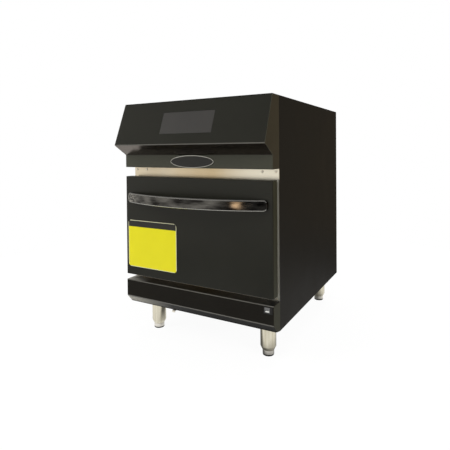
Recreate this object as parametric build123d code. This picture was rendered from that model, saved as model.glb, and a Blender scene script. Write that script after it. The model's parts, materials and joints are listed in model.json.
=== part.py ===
from build123d import *
import os
from math import cos, pi, sin

# A countertop speed oven on four adjustable legs, in millimetres.
# X runs to the right, Y to the rear and Z up. Pieces are drawn with the door's front face at Y = 0
# and moved as they are written, so that the origin is under the middle of the whole oven.

# Cabinet
width = 500.0
body_depth = 640.0
leg_height = 100.0
sheet = 1.5
flange = 15.0
fold_radius = 2.0

# Clearances
body_gap = 0.3
running_gap = 0.05
hole_gap = 0.25
overrun = 5.0

# Heights of the front, from the base pan up, and how far its folds reach
lip_height = 22.5
lip_reach = 20.0
side_drop = 5.5
plinth_height = 52.0
door_gap = 17.0
strip_height = 28.5
band_height = 38.0
underside_rise = 30.0
slope_rise = 127.0
tip_reach = 49.5
wiring_margin = 30.0
wiring_drop = 35.5

# Panel screws, on the frame's strip and on the rear panel
screw_shank = 2.0
screw_head = 3.5
screw_proud = 1.5
screw_length = 9.0
frame_screw_insets = (9.0, 49.0)
frame_screw_drop = 8.0

# Display
screen_width = 175.0
screen_height = 67.0
screen_from_edge = 36.0
screen_gap = 0.2
module_margin = 8.0
module_depth = 14.0
board_margin = 4.0
board_thick = 1.6
standoff_length = 8.0
standoff_radius = 3.0
chip_size = 16.0
chip_height = 3.0

# Badge plate and blank card
badge_width = 147.0
badge_height = 36.0
badge_thick = 2.0
badge_edge = 0.8
card_inset = 8.5
card_width = 184.5
card_rise = 26.5
card_height = 145.0
card_thick = 0.5
card_corner = 8.0

# Door
skin_depth = 28.0
inner_depth = 10.0
seal_room = 4.5
skin_flange = 14.0
inner_inset = 4.0
choke_width = 16.0
choke_depth = 6.0
choke_pitch = 24.0
choke_slot = 8.0
seal_offset = 7.0
seal_width = 12.0

# Door hinge
pivot_y = 16.0
pivot_rise = 8.0
pin_radius = 3.0
arm_thick = 4.0
arm_radius = 6.5
arm_inset = 24.0
arm_foot = 16.0
notch_gap = 2.0
channel_wall = 2.0
channel_height = 90.0

# Handle
handle_margin = 13.5
handle_reach = 60.0
handle_end = 8.0
handle_drop = 50.5
handle_height = 30.0
handle_thick = 12.0
handle_foot = 15.0
handle_corner = 9.0
handle_power = 2.2
handle_samples = 9
handle_screw_radius = 2.5
handle_screw_length = 8.0
handle_screw_inset = 8.0

# Latch hooks and interlock switches
hook_inset = 35.0
hook_thick = 3.0
hook_height = 12.0
hook_length = 30.0
hook_base = 24.0
hook_drop = 20.0
slot_gap = 3.0
switch_width = 10.0
switch_height = 20.0
switch_depth = 28.0

# Cavity
cavity_height = 240.0
cavity_lift = 33.5
cavity_drop = 35.0
insulation_thick = 22.0
jet_rise = 15.0
jet_count = 7
jet_radius = 5.0
inlet_radius = 4.0
inlet_counts = (6, 12, 18)
inlet_margin = 16.0
outlet_slots = 5
outlet_slot_height = 6.0
ledge_rise = 36.0
ledge_width = 9.0
wire_radius = 2.0
wire_count = 13
rack_margin = 12.0

# Wave feed
port_size = 60.0
port_cover_thick = 1.0
port_cover_margin = 6.0
guide_width = 90.0
guide_depth = 43.0
guide_below = 55.0
guide_rise = 121.5
guide_behind = 10.5
guide_room = 17.0
magnetron_x = 70.0
magnetron_y = 84.0
magnetron_z = 76.0
magnetron_drop = 12.0
magnetron_wall = 1.6
fin_count = 7
fin_thick = 1.0
fin_side = 62.0
anode_radius = 20.0
antenna_radius = 8.0
antenna_length = 16.0

# Hot-air plenum and blower
plenum_depth = 50.0
wheel_gap = 16.0
wheel_depth = 32.0
wheel_blades = 12
wheel_eye = 46.0
wheel_hub = 12.0
shaft_radius = 4.0
catalyst_inset = 14.0
catalyst_thick = 3.5
heater_margin = 20.0
heater_tube = 4.0
heater_gap_angle = 40.0
heater_tail = 20.0
rear_insulation = 20.0
mount_post = 34.0
mount_post_radius = 5.0
mount_size = 116.0
motor_radius = 50.0
motor_length = 90.0
motor_bell = 12.0
motor_room = 76.5
probe_radius = 2.0
probe_reach = 10.0
probe_head = 6.0
probe_inset = 40.0

# High-voltage parts and wiring
transformer_x = 120.0
transformer_setback = 120.0
transformer_size = (90.0, 80.0, 66.0)
transformer_foot = 3.0
winding_margin = 12.0
capacitor_x = 36.0
capacitor_size = (34.0, 52.0, 90.0)
shelf_lift = 12.0
shelf_width = 180.0
shelf_setback = 26.0
shelf_overhang = 15.0
power_board_size = (150.0, 110.0)
power_board_setback = 85.0
filter_box_size = (70.0, 90.0, 40.0)
filter_box_gap = 23.5
filter_box_setback = 120.0
terminal_size = (60.0, 26.0, 22.0)
terminal_from_leg = 47.0
terminal_setback = 50.0

# Cooling fan and intake filter
intake_leg_gap = 5.0
fan_from_tray = 140.0
fan_side = 120.0
fan_depth = 38.0
fan_bore = 57.0
fan_hub = 21.0
fan_strut = 6.0
fan_web = 3.0
fan_axle = 2.0
fan_blades = 7
fan_blade_turn = 35
blade_share = 0.66
slot_count = 9
slot_length = 100.0
slot_width = 5.0
slot_pitch = 11.0
tray_width = 160.0
tray_length = 270.0
tray_setback = 6.0
tray_thick = 6.5
tray_border = 10.0
rail_lip = 6.0
pad_gap = 0.2
tab_width = 10.0
tab_setback = 3.5
tab_drop = 4.0

# Rear panel
louvre_columns = 3
louvre_rows = 9
louvre_length = 90.0
louvre_width = 6.0
louvre_pitch_x = 120.0
louvre_pitch_z = 14.0
louvre_lift = 140.0
louvre_drop = 115.0
rear_screw_inset = 18.0
rear_screw_lifts = (30.0, 320.0)
rear_screw_drop = 25.0

# Mains inlet
gland_inset = 70.0
gland_lift = 50.0
gland_bore = 6.5
gland_thread = 10.0
gland_flange = 14.0
gland_reach = 12.0
gland_inside = 10.0
gland_clip = 1.0

# Service port
port_inset = 18.5
port_drop = 12.5
port_width = 15.0
port_height = 14.0
port_depth = 16.0
port_wall = 1.2
port_slot = 6.0
bezel_margin = 3.0
bezel_border = 2.5
bezel_thick = 1.2

# Legs
leg_inset = 55.0
leg_front_setback = 46.0
leg_rear_setback = 62.0
leg_radius = 22.5
leg_wall = 2.0
taper_top = 26.0
taper_radius = 18.0
foot_height = 16.0
foot_radius = 16.5
foot_edge = 2.5
stem_radius = 8.0
stem_length = 58.0
collar_height = 22.0
stud_radius = 5.0
stud_length = 14.0
nut_radius = 9.0
nut_height = 8.0

# Places worked out from the sizes above
front_y = (handle_reach - body_depth - gland_reach) / 2
side = width / 2
pan_side = side - sheet
door_depth = skin_depth + inner_depth
frame_y = door_depth + seal_room
frame_back = frame_y + sheet
rear_inner = body_depth - sheet
pan_top = leg_height + sheet
plinth_fold = leg_height + lip_height
plinth_top = plinth_fold + plinth_height
door_bottom = plinth_top + door_gap
cavity_bottom = door_bottom + cavity_lift
cavity_top = cavity_bottom + cavity_height
door_top = cavity_top + cavity_drop
band_bottom = door_top + strip_height
band_top = band_bottom + band_height
tip_height = band_top + underside_rise
cover_bottom = tip_height + slope_rise
top_height = cover_bottom + sheet
insulation_side = pan_side - guide_room - guide_depth
cavity_side = insulation_side - insulation_thick - sheet
insulation_top = cavity_top + sheet + insulation_thick
insulation_bottom = cavity_bottom - sheet - insulation_thick
motor_front = rear_inner - motor_room - motor_length
plenum_rear = motor_front - sheet - mount_post
liner_rear = plenum_rear - plenum_depth
cavity_rear = liner_rear - sheet
cavity_mid = cavity_bottom + cavity_height / 2
heater_radius = cavity_height / 2 - heater_margin
wheel_radius = heater_radius - wheel_gap
catalyst_radius = wheel_radius - catalyst_inset
inlet_pitch = (catalyst_radius - inlet_margin) / len(inlet_counts)
guide_y = (frame_back + cavity_rear) / 2 + guide_behind
leg_x = side - leg_inset
leg_front_y = frame_back + leg_front_setback
leg_rear_y = body_depth - leg_rear_setback
intake_x = leg_radius + intake_leg_gap + tray_width / 2 - leg_x
tray_front = frame_back + tray_setback
fan_y = tray_front + fan_from_tray
transformer_y = body_depth - transformer_setback
gland_x = gland_inset - side
gland_z = leg_height + gland_lift
pivot_z = door_bottom + pivot_rise
arm_x = side - arm_inset


def block(x, y, z):
    """A block between three pairs of limits."""
    size = (x[1] - x[0], y[1] - y[0], z[1] - z[0])
    middle = ((x[0] + x[1]) / 2, (y[0] + y[1]) / 2, (z[0] + z[1]) / 2)
    return Pos(*middle) * Box(*size)


def around(middle, length):
    """The two limits of a length about its middle."""
    return (middle - length / 2, middle + length / 2)


def rod_x(radius, x, y, z):
    """A round bar along X between two limits."""
    return Pos((x[0] + x[1]) / 2, y, z) * Rot(0, 90, 0) * Cylinder(radius, x[1] - x[0])


def rod_y(radius, x, y, z):
    """A round bar along Y between two limits."""
    return Pos(x, (y[0] + y[1]) / 2, z) * Rot(90, 0, 0) * Cylinder(radius, y[1] - y[0])


def rod_z(radius, x, y, z):
    """A round bar along Z between two limits."""
    return Pos(x, y, (z[0] + z[1]) / 2) * Cylinder(radius, z[1] - z[0])


def both_sides(shape):
    """A piece and its mirror image across the middle of the oven."""
    return [shape, mirror(shape, about=Plane.YZ)]


def save(node, *solids):
    """Write one node, moved so that the origin is under the middle of the oven."""
    placed = [Pos(0, front_y, 0) * solid for solid in solids]
    shape = placed[0] if len(placed) == 1 else Compound(children=placed)
    export_step(shape, f"parts/{node}.step")


def casing(points):
    """A folded sheet casing with a cheek at each end, open to the rear, from its outer side view."""
    back = frame_back + overrun
    outer = Polygon(*points, (back, points[-1][1]), (back, points[0][1]), align=None)
    folds = outer.vertices().filter_by(lambda corner: corner.X < frame_y)
    outer = fillet(folds, fold_radius)
    inner = offset(outer, amount=-sheet, kind=Kind.INTERSECTION)
    shell = extrude(Plane.YZ * outer, amount=side, both=True)
    shell -= extrude(Plane.YZ * inner, amount=pan_side, both=True)
    shell -= block((-width, width), (frame_back, back + overrun), (0, top_height + overrun))
    return shell


def slope_box(x_size, y_size, depth, start, x=0.0, down=0.0):
    """A box laid under the sloped panel: down from its top edge, and start below its face."""
    rise = cover_bottom - tip_height
    plane = Plane(origin=(0, 0, cover_bottom), x_dir=(1, 0, 0), z_dir=(0, -rise, tip_reach))
    return plane * Pos(x, -down, -start - depth / 2) * Box(x_size, y_size, depth)


os.makedirs("parts", exist_ok=True)

# Base pan: a tray with turned-up edges, slotted over the intake filter, with a weld nut for each leg stud
base_pan = block((-pan_side, pan_side), (frame_back, rear_inner), (leg_height, pan_top))
pan_edge_z = (leg_height, leg_height + flange)
for edge in both_sides(block((pan_side - sheet, pan_side), (frame_back, rear_inner), pan_edge_z)):
    base_pan += edge
base_pan += block((-pan_side, pan_side), (rear_inner - sheet, rear_inner), pan_edge_z)
leg_places = [(x, y) for x in (-leg_x, leg_x) for y in (leg_front_y, leg_rear_y)]
for x, y in leg_places:
    base_pan += Pos(x, y, pan_top) * extrude(RegularPolygon(nut_radius, 6), amount=nut_height)
    base_pan -= rod_z(stud_radius + running_gap, x, y, (0, pan_top + 2 * nut_height))
for index in range(slot_count):
    slot_y = fan_y + (index - (slot_count - 1) / 2) * slot_pitch
    base_pan -= block(around(intake_x, slot_length), around(slot_y, slot_width), (0, pan_top + flange))
save("base_pan", base_pan)

# Side panels, which reach a little below the base pan and hide the filter rails, and the top cover
side_bottom = leg_height - side_drop
side_panel = block((pan_side, side), (frame_back, body_depth), (side_bottom, cover_bottom))
save("right_side_panel", side_panel)
save("left_side_panel", mirror(side_panel, about=Plane.YZ))
top_cover = block((-side, side), (0, body_depth), (cover_bottom, top_height))
cover_edge_y = (frame_back + flange, rear_inner - flange)
cover_edge_z = (cover_bottom - flange, cover_bottom)
for edge in both_sides(block((pan_side - sheet, pan_side), cover_edge_y, cover_edge_z)):
    top_cover += edge
save("top_cover", top_cover)

# Rear panel with two fields of louvre slots, screwed at its edges
rear_panel = block((-pan_side, pan_side), (rear_inner, body_depth), (leg_height, cover_bottom))
for field in (leg_height + louvre_lift, top_height - louvre_drop):
    for column in range(louvre_columns):
        for row in range(louvre_rows):
            x = (column - (louvre_columns - 1) / 2) * louvre_pitch_x
            z = field + (row - (louvre_rows - 1) / 2) * louvre_pitch_z
            slot = Plane.XZ * Pos(x, z) * SlotOverall(louvre_length, louvre_width)
            rear_panel -= extrude(slot, amount=-(body_depth + overrun))
rear_panel -= rod_y(gland_thread + hole_gap, gland_x, (0, body_depth + overrun), gland_z)
panel_screws = []
rear_screw_rows = [leg_height + lift for lift in rear_screw_lifts] + [top_height - rear_screw_drop]
for x in (rear_screw_inset - side, 0, side - rear_screw_inset):
    for z in rear_screw_rows:
        rear_panel -= rod_y(screw_shank + hole_gap, x, (0, body_depth + overrun), z)
        screw = rod_y(screw_shank, x, (body_depth - screw_length, body_depth), z)
        panel_screws.append(screw + rod_y(screw_head, x, (body_depth, body_depth + screw_proud), z))
save("rear_panel", rear_panel)

# Mains inlet: a cable gland through the rear panel, with a snap ring inside
gland_start = rear_inner - gland_inside
gland = rod_y(gland_thread, gland_x, (gland_start, body_depth), gland_z)
gland += rod_y(gland_flange, gland_x, (body_depth, body_depth + gland_reach), gland_z)
gland += rod_y(gland_thread + gland_clip, gland_x, (gland_start, rear_inner - body_gap), gland_z)
gland -= rod_y(gland_bore, gland_x, (0, body_depth + gland_reach + overrun), gland_z)
save("cable_gland", gland)

# Stainless front frame: full width where it shows, narrower behind the hood and the plinth
front_frame = block((-side, side), (frame_y, frame_back), (plinth_top, band_bottom))
front_frame += block((-pan_side, pan_side), (frame_y, frame_back), (leg_height, cover_bottom - sheet))
cavity_x = (-cavity_side, cavity_side)
front_frame -= block(cavity_x, (0, body_depth), (cavity_bottom, cavity_top))
wiring_x = (wiring_margin - side, side - wiring_margin)
front_frame -= block(wiring_x, (0, body_depth), (band_top + sheet, cover_bottom - wiring_drop))
hook_x = side - hook_inset
hook_z = door_top - hook_drop
hook_x_limits = around(hook_x, hook_thick)
hook_slot_x = (hook_x_limits[0] - slot_gap, hook_x_limits[1] + slot_gap)
hook_slot_z = (hook_z - hook_height / 2 - slot_gap, hook_z + hook_height / 2 + slot_gap + hook_thick)
for slot in both_sides(block(hook_slot_x, (0, body_depth), hook_slot_z)):
    front_frame -= slot
outer_screw_x, inner_screw_x = [side - inset for inset in frame_screw_insets]
for x in (-outer_screw_x, -inner_screw_x, inner_screw_x, outer_screw_x):
    z = band_bottom - frame_screw_drop
    front_frame -= rod_y(screw_shank + hole_gap, x, (0, body_depth), z)
    screw = rod_y(screw_shank, x, (frame_y, frame_y + screw_length), z)
    panel_screws.append(screw + rod_y(screw_head, x, (frame_y - screw_proud, frame_y), z))
save("front_frame", front_frame)
save("panel_screws", *panel_screws)

# Control hood: one sheet folded over the sloped panel, the underside and the badge band
hood_points = [(0, cover_bottom), (-tip_reach, tip_height), (0, band_top), (0, band_bottom)]
control_hood = casing(hood_points)
control_hood -= block((-pan_side, pan_side), (frame_y, body_depth), (0, cover_bottom - sheet))
window_drop = screen_from_edge + screen_height / 2
control_hood -= slope_box(
    screen_width + 2 * screen_gap, screen_height + 2 * screen_gap, 2 * overrun, -overrun, down=window_drop
)
save("control_hood", control_hood)

# Touch screen: the glass lies flush in the window, with the display module behind it
save("touch_screen_glass", slope_box(screen_width, screen_height, sheet, 0, down=window_drop))
module_width = screen_width + 2 * module_margin
module_height = screen_height + 2 * module_margin
save("display_module", slope_box(module_width, module_height, module_depth, sheet, down=window_drop))
board_start = sheet + module_depth + standoff_length
board_width = module_width - 2 * board_margin
board_height = module_height - 2 * board_margin
control_board = slope_box(board_width, board_height, board_thick, board_start, down=window_drop)
for x in (-1, 1):
    for y in (-1, 1):
        standoff_side = 2 * standoff_radius
        corner_x = x * (board_width / 2 - standoff_side)
        corner_y = window_drop + y * (board_height / 2 - standoff_side)
        control_board += slope_box(
            standoff_side, standoff_side, standoff_length, sheet + module_depth, x=corner_x, down=corner_y
        )
for index in range(-2, 3):
    chip_x = index * 2 * chip_size
    control_board += slope_box(
        chip_size, chip_size, chip_height, board_start + board_thick, x=chip_x, down=window_drop
    )
save("control_board", control_board)

# Blank oval badge plate on the band
badge_z = (band_bottom + band_top) / 2
badge_shape = Plane.XZ * Pos(0, badge_z) * Ellipse(badge_width / 2, badge_height / 2)
badge = extrude(badge_shape, amount=badge_thick)
badge = chamfer(badge.faces().sort_by(Axis.Y)[0].edges(), badge_edge)
save("badge_plate", badge)

# Plinth panel under the door, with its sloped lower lip, cheeks that run down to the side panels, and
# the hole for the service port
plinth_points = [(0, plinth_top), (0, plinth_fold), (lip_reach, leg_height)]
plinth = casing(plinth_points)
plinth -= block((-pan_side, pan_side), (frame_y, body_depth), (0, top_height))
cheek_points = [(lip_reach, leg_height), (frame_back, side_bottom), (frame_back, leg_height)]
cheek = extrude(Plane.YZ * Polygon(*cheek_points, align=None), amount=sheet)
for cheek_end in both_sides(Pos(pan_side, 0, 0) * cheek):
    plinth += cheek_end
port_limits_x = around(side - port_inset, port_width)
port_limits_z = around(plinth_top - port_drop, port_height)
port_hole_x = (port_limits_x[0] - screen_gap, port_limits_x[1] + screen_gap)
port_hole_z = (port_limits_z[0] - screen_gap, port_limits_z[1] + screen_gap)
plinth -= block(port_hole_x, (-overrun, overrun), port_hole_z)
save("plinth_panel", plinth)

# Service port: a square bezel on the plinth and a metal shell with a slot in its lower half
bezel_x = (port_limits_x[0] - bezel_border, side - bezel_margin)
bezel_z = (port_limits_z[0] - bezel_border, port_limits_z[1] + bezel_border)
bezel = block(bezel_x, (-bezel_thick, 0), bezel_z)
bezel -= block(port_limits_x, (-overrun, overrun), port_limits_z)
save("port_bezel", bezel)
port_shell = block(port_limits_x, (-bezel_thick / 2, port_depth), port_limits_z)
port_shell -= block(
    (port_limits_x[0] + port_wall, port_limits_x[1] - port_wall),
    (-overrun, port_depth - port_wall),
    (port_limits_z[0] + port_wall, port_limits_z[0] + port_wall + port_slot),
)
save("service_port", port_shell)

# Door skin: a shallow black tray with a turned-in edge at the rear
skin = block((-side, side), (0, skin_depth), (door_bottom, door_top))
skin = fillet(skin.faces().sort_by(Axis.Y)[0].edges() + skin.edges().filter_by(Axis.Y), fold_radius)
skin -= block((-pan_side, pan_side), (sheet, skin_depth - sheet), (door_bottom + sheet, door_top - sheet))
window_side = side - skin_flange
window_z = (door_bottom + skin_flange, door_top - skin_flange)
skin -= block((-window_side, window_side), (sheet, skin_depth + overrun), window_z)

# Stainless inner pan of the door, set in from the edges of the skin
inner_side = side - inner_inset
inner_z = (door_bottom + inner_inset, door_top - inner_inset)
inner_pan = block((-inner_side, inner_side), (skin_depth, door_depth), inner_z)
inner_pan -= block(
    (-inner_side + sheet, inner_side - sheet),
    (0, door_depth - sheet),
    (inner_z[0] + sheet, inner_z[1] - sheet),
)

# Door filling, between the skin and the inner pan
filling_side = window_side - body_gap
filling_back = door_depth - sheet - choke_depth - body_gap
filling_z = (door_bottom + skin_flange + body_gap, door_top - skin_flange - body_gap)
door_insulation = block((-filling_side, filling_side), (sheet, filling_back), filling_z)

# Hinge arms on the frame, each with the pin that the door turns on near its lower edge
arm_limits = around(arm_x, arm_thick)
arm_z = around(pivot_z, 2 * arm_radius)
arm_base_x = around(arm_x, 2 * arm_radius)
arm_base_z = (arm_z[0] - arm_foot, arm_z[1])
hinge_arm = block(arm_limits, (pivot_y, frame_y), arm_z) + rod_x(arm_radius, arm_limits, pivot_y, pivot_z)
hinge_arm += block(arm_base_x, (frame_y - sheet, frame_y), arm_base_z)

# The lower edge of the door is notched, so that it clears the arms as it drops
notch_x = (arm_limits[0] - notch_gap, arm_limits[1] + notch_gap)
notch_y = (pivot_y - arm_radius - notch_gap, door_depth + overrun)
notch = block(notch_x, notch_y, (0, arm_z[1] + notch_gap))
pan_notch_x = (arm_base_x[0] - notch_gap, arm_base_x[1] + notch_gap)
pan_notch = block(pan_notch_x, (skin_depth, door_depth + overrun), (0, arm_z[1] + notch_gap))
channel_x = (notch_x[0] - channel_wall, notch_x[1] + channel_wall)
channel_z = (door_bottom + sheet, door_bottom + sheet + channel_height)
channel_y = (sheet, filling_back)
channel = block(channel_x, channel_y, channel_z)
channel -= block(notch_x, (channel_wall + sheet, body_depth), (0, top_height))
channel -= rod_x(pin_radius + running_gap, (0, side), pivot_y, pivot_z)
room_x = (channel_x[0] - body_gap, channel_x[1] + body_gap)
channel_room = block(room_x, (0, filling_back + body_gap), (0, channel_z[1] + body_gap))
for cut in both_sides(notch):
    skin -= cut
for cut in both_sides(pan_notch):
    inner_pan -= cut
for cut in both_sides(channel_room):
    door_insulation -= cut
rim_room = block(channel_x, (skin_depth - sheet - body_gap, skin_depth + body_gap), channel_z)
for cut in both_sides(rim_room):
    skin -= cut
save("hinge_channels", *both_sides(channel))
hinge_arm += rod_x(pin_radius, channel_x, pivot_y, pivot_z)
save("hinge_arms", *both_sides(hinge_arm))

# Handle: a wide flat bow on two feet, screwed from inside the door


def bow(half, reach, end):
    """One edge of the bow, seen from above, from its left foot to its right foot."""
    places = [half * (2 * index / (handle_samples - 1) - 1) for index in range(handle_samples)]
    return Spline(*[(x, -end - (reach - end) * (1 - (abs(x) / half) ** handle_power)) for x in places])


handle_half = side - handle_margin
handle_bottom = door_top - handle_drop - handle_height
outer_bow = bow(handle_half, handle_reach, handle_end)
inner_bow = bow(handle_half - handle_foot, handle_reach - handle_thick, 0)
left_end = Line(outer_bow @ 0, (-handle_half, 0))
left_foot = Line((-handle_half, 0), inner_bow @ 0)
right_end = Line(outer_bow @ 1, (handle_half, 0))
right_foot = Line((handle_half, 0), inner_bow @ 1)
handle_edges = [outer_bow, right_end, right_foot, inner_bow, left_foot, left_end]
handle = extrude(make_face(handle_edges), amount=handle_height)
handle = Pos(0, 0, handle_bottom) * handle
screw_z = handle_bottom + handle_height / 2
handle_face = Pos(0, screw_z) * RectangleRounded(2 * handle_half, handle_height, handle_corner)
handle &= extrude(Plane.XZ * handle_face, amount=body_depth)
screw_head_y = (sheet, sheet + handle_screw_radius)
screw_x = handle_half - handle_screw_inset
handle_screws = []
for x in (-screw_x, screw_x):
    shank = rod_y(handle_screw_radius, x, (-handle_screw_length / 2, sheet), screw_z)
    handle -= shank
    skin -= rod_y(handle_screw_radius, x, (-overrun, sheet + overrun), screw_z)
    handle_screws.append(shank + rod_y(2 * handle_screw_radius, x, screw_head_y, screw_z))
    door_insulation -= rod_y(2 * handle_screw_radius + body_gap, x, (0, 2 * handle_screw_length), screw_z)
save("door_handle", handle)
save("handle_screws", *handle_screws)
save("door_outer_skin", skin)
save("door_inner_pan", inner_pan)
save("door_insulation", door_insulation)

# Choke frame: a slotted ring inside the inner pan, round the cavity opening, that keeps microwaves in
choke_x = cavity_side + seal_offset + seal_width
choke_z = (cavity_bottom - seal_offset - seal_width, cavity_top + seal_offset + seal_width)
choke_y = (door_depth - sheet - choke_depth, door_depth - sheet)
choke = block((-choke_x, choke_x), choke_y, choke_z)
choke_hole_z = (choke_z[0] + choke_width, choke_z[1] - choke_width)
choke -= block((-choke_x + choke_width, choke_x - choke_width), (0, body_depth), choke_hole_z)
slot_number = int((2 * choke_x - choke_pitch) / choke_pitch)
for index in range(slot_number):
    x = (index - (slot_number - 1) / 2) * choke_pitch
    slot_x = around(x, choke_slot)
    slot_y = (choke_y[0] - overrun, choke_y[0] + choke_depth / 2)
    choke -= block(slot_x, slot_y, (choke_z[1] - choke_width / 2, choke_z[1] + overrun))
    choke -= block(slot_x, slot_y, (choke_z[0] - overrun, choke_z[0] + choke_width / 2))
save("door_choke_frame", choke)

# Door seal: a ring on the inner pan that closes on the frame round the cavity opening
seal_y = (door_depth, frame_y - body_gap)
seal_x = cavity_side + seal_offset
seal_z = (cavity_bottom - seal_offset, cavity_top + seal_offset)
seal = block(
    (-seal_x - seal_width, seal_x + seal_width), seal_y, (seal_z[0] - seal_width, seal_z[1] + seal_width)
)
seal -= block((-seal_x, seal_x), (0, body_depth), seal_z)
save("door_seal", seal)

# Latch hooks on the inner pan reach through the frame, beside the interlock switches on its rear
hook_z_limits = around(hook_z, hook_height)
hook = block(hook_x_limits, (door_depth, door_depth + hook_length), hook_z_limits)
hook += block(around(hook_x, hook_base), (door_depth, door_depth + sheet), hook_z_limits)
save("door_latch_hooks", *both_sides(hook))
switch_x = hook_x_limits[1] + slot_gap + hole_gap
switch_y = (frame_back, frame_back + switch_depth)
switch = block((switch_x, switch_x + switch_width), switch_y, around(hook_z, switch_height))
save("interlock_switches", *both_sides(switch))

# Blank card on the lower left of the door
card_middle = (card_inset - side + card_width / 2, door_bottom + card_rise + card_height / 2)
card_shape = Plane.XZ * Pos(*card_middle) * RectangleRounded(card_width, card_height, card_corner)
save("door_card", extrude(card_shape, amount=card_thick))

# Cavity liner: a welded stainless box, open to the front, with the air inlet and outlets in its rear wall
liner_limits = [
    (-cavity_side - sheet, cavity_side + sheet),
    (frame_back, liner_rear),
    (cavity_bottom - sheet, cavity_top + sheet),
]
liner = block(*liner_limits) - block(cavity_x, (0, cavity_rear), (cavity_bottom, cavity_top))
inlet_places = []
for ring, count in enumerate(inlet_counts):
    for index in range(count):
        angle = 2 * pi * index / count
        reach = (ring + 1) * inlet_pitch
        inlet_places.append((reach * cos(angle), cavity_mid + reach * sin(angle)))
for x, z in inlet_places:
    liner -= rod_y(inlet_radius, x, (cavity_rear - overrun, liner_rear + overrun), z)
slot_pitch_x = 2 * cavity_side / outlet_slots
for index in range(outlet_slots):
    x = (index - (outlet_slots - 1) / 2) * slot_pitch_x
    slot_x = (x - slot_pitch_x / 3, x + slot_pitch_x / 3)
    for z in (cavity_bottom + jet_rise / 2, cavity_top - jet_rise / 2):
        slot_z = around(z, outlet_slot_height)
        liner -= block(slot_x, (cavity_rear - overrun, liner_rear + overrun), slot_z)
port_y = around(guide_y, port_size)
feed_z = around(cavity_mid, port_size)
liner -= block((-side, side), port_y, feed_z)

# Jet plates: perforated trays over the floor and under the roof of the cavity
plate_side = cavity_side - body_gap
plate_y = (frame_back + flange, cavity_rear - body_gap)


def jet_plate(face, wall):
    """A perforated plate with two side walls; face and wall are limits along Z."""
    plate = block((-plate_side, plate_side), plate_y, face)
    for edge in both_sides(block((plate_side - sheet, plate_side), plate_y, wall)):
        plate += edge
    pitch_x = 2 * plate_side / (jet_count + 1)
    pitch_y = (plate_y[1] - plate_y[0]) / (jet_count + 1)
    for column in range(1, jet_count + 1):
        for row in range(1, jet_count + 1):
            place = (-plate_side + column * pitch_x, plate_y[0] + row * pitch_y)
            plate -= rod_z(jet_radius, *place, (face[0] - overrun, face[1] + overrun))
    return plate


lower_face = (cavity_bottom + jet_rise, cavity_bottom + jet_rise + sheet)
upper_face = (cavity_top - jet_rise - sheet, cavity_top - jet_rise)
save("lower_jet_plate", jet_plate(lower_face, (cavity_bottom, lower_face[1])))
save("upper_jet_plate", jet_plate(upper_face, (upper_face[0], cavity_top)))

# Rack ledges welded to the side walls of the liner, and the wire rack that lies on them
ledge_z = cavity_bottom + ledge_rise
rack_y = (plate_y[0] + flange, plate_y[1] - flange)
ledge_x = (cavity_side - ledge_width, cavity_side)
for ledge in both_sides(block(ledge_x, rack_y, (ledge_z - sheet, ledge_z))):
    liner += ledge
rack_side = cavity_side - rack_margin / 2
wire_z = ledge_z + body_gap / 2 + wire_radius
wire_rack = rod_x(wire_radius, (-rack_side, rack_side), rack_y[0] + flange, wire_z)
wire_rack += rod_x(wire_radius, (-rack_side, rack_side), rack_y[1] - flange, wire_z)
for index in range(wire_count):
    x = (index - (wire_count - 1) / 2) * 2 * (rack_side - rack_margin) / (wire_count - 1)
    wire_rack += rod_y(wire_radius, x, rack_y, wire_z + 1.5 * wire_radius)
save("wire_rack", wire_rack)

# Wave port covers: thin plates inside the cavity, over the feed openings
cover_size = port_size + 2 * port_cover_margin
cover_x = (cavity_side - port_cover_thick, cavity_side)
port_cover = block(cover_x, around(guide_y, cover_size), around(cavity_mid, cover_size))
save("wave_port_covers", *both_sides(port_cover))

# Cavity insulation: a blanket round the liner, cut away at the wave ports
insulation_limits = [
    (-insulation_side, insulation_side),
    (frame_back, liner_rear),
    (insulation_bottom, insulation_top),
]
insulation = block(*insulation_limits) - block(*liner_limits)
insulation -= block((-side, side), port_y, feed_z)

# Temperature probe through the right wall of the cavity, near the rear
probe_place = (cavity_rear - probe_inset, cavity_top - probe_inset)
probe_hole = rod_x(probe_radius + hole_gap, (cavity_side - overrun, side), *probe_place)
liner -= probe_hole
insulation -= probe_hole
probe = rod_x(probe_radius, (cavity_side - probe_reach, insulation_side), *probe_place)
probe += rod_x(probe_head, (insulation_side, insulation_side + probe_head), *probe_place)
save("temperature_probe", probe)
save("cavity_liner", liner)
save("cavity_insulation", insulation)

# Waveguides: upright tubes beside the cavity, joined to its side walls by a short duct
guide_x = (insulation_side, insulation_side + guide_depth)
guide_y_limits = around(guide_y, guide_width)
guide_bottom = cavity_mid - guide_below
guide_top = insulation_top + guide_rise
guide = block(guide_x, guide_y_limits, (guide_bottom, guide_top))
guide += block((cavity_side + sheet, guide_x[0]), port_y, feed_z)
guide -= block(
    (guide_x[0] + sheet, guide_x[1] - sheet),
    (guide_y_limits[0] + sheet, guide_y_limits[1] - sheet),
    (guide_bottom + sheet, guide_top - sheet),
)
guide -= block(
    (cavity_side, guide_x[0] + 2 * sheet),
    (port_y[0] + sheet, port_y[1] - sheet),
    (feed_z[0] + sheet, feed_z[1] - sheet),
)
magnetron_mid = guide_top - magnetron_drop - magnetron_z / 2
antenna_hole_x = around(guide_x[0], 2 * sheet + 2 * overrun)
guide -= rod_x(1.5 * antenna_radius, antenna_hole_x, guide_y, magnetron_mid)
save("waveguides", *both_sides(guide))

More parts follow.
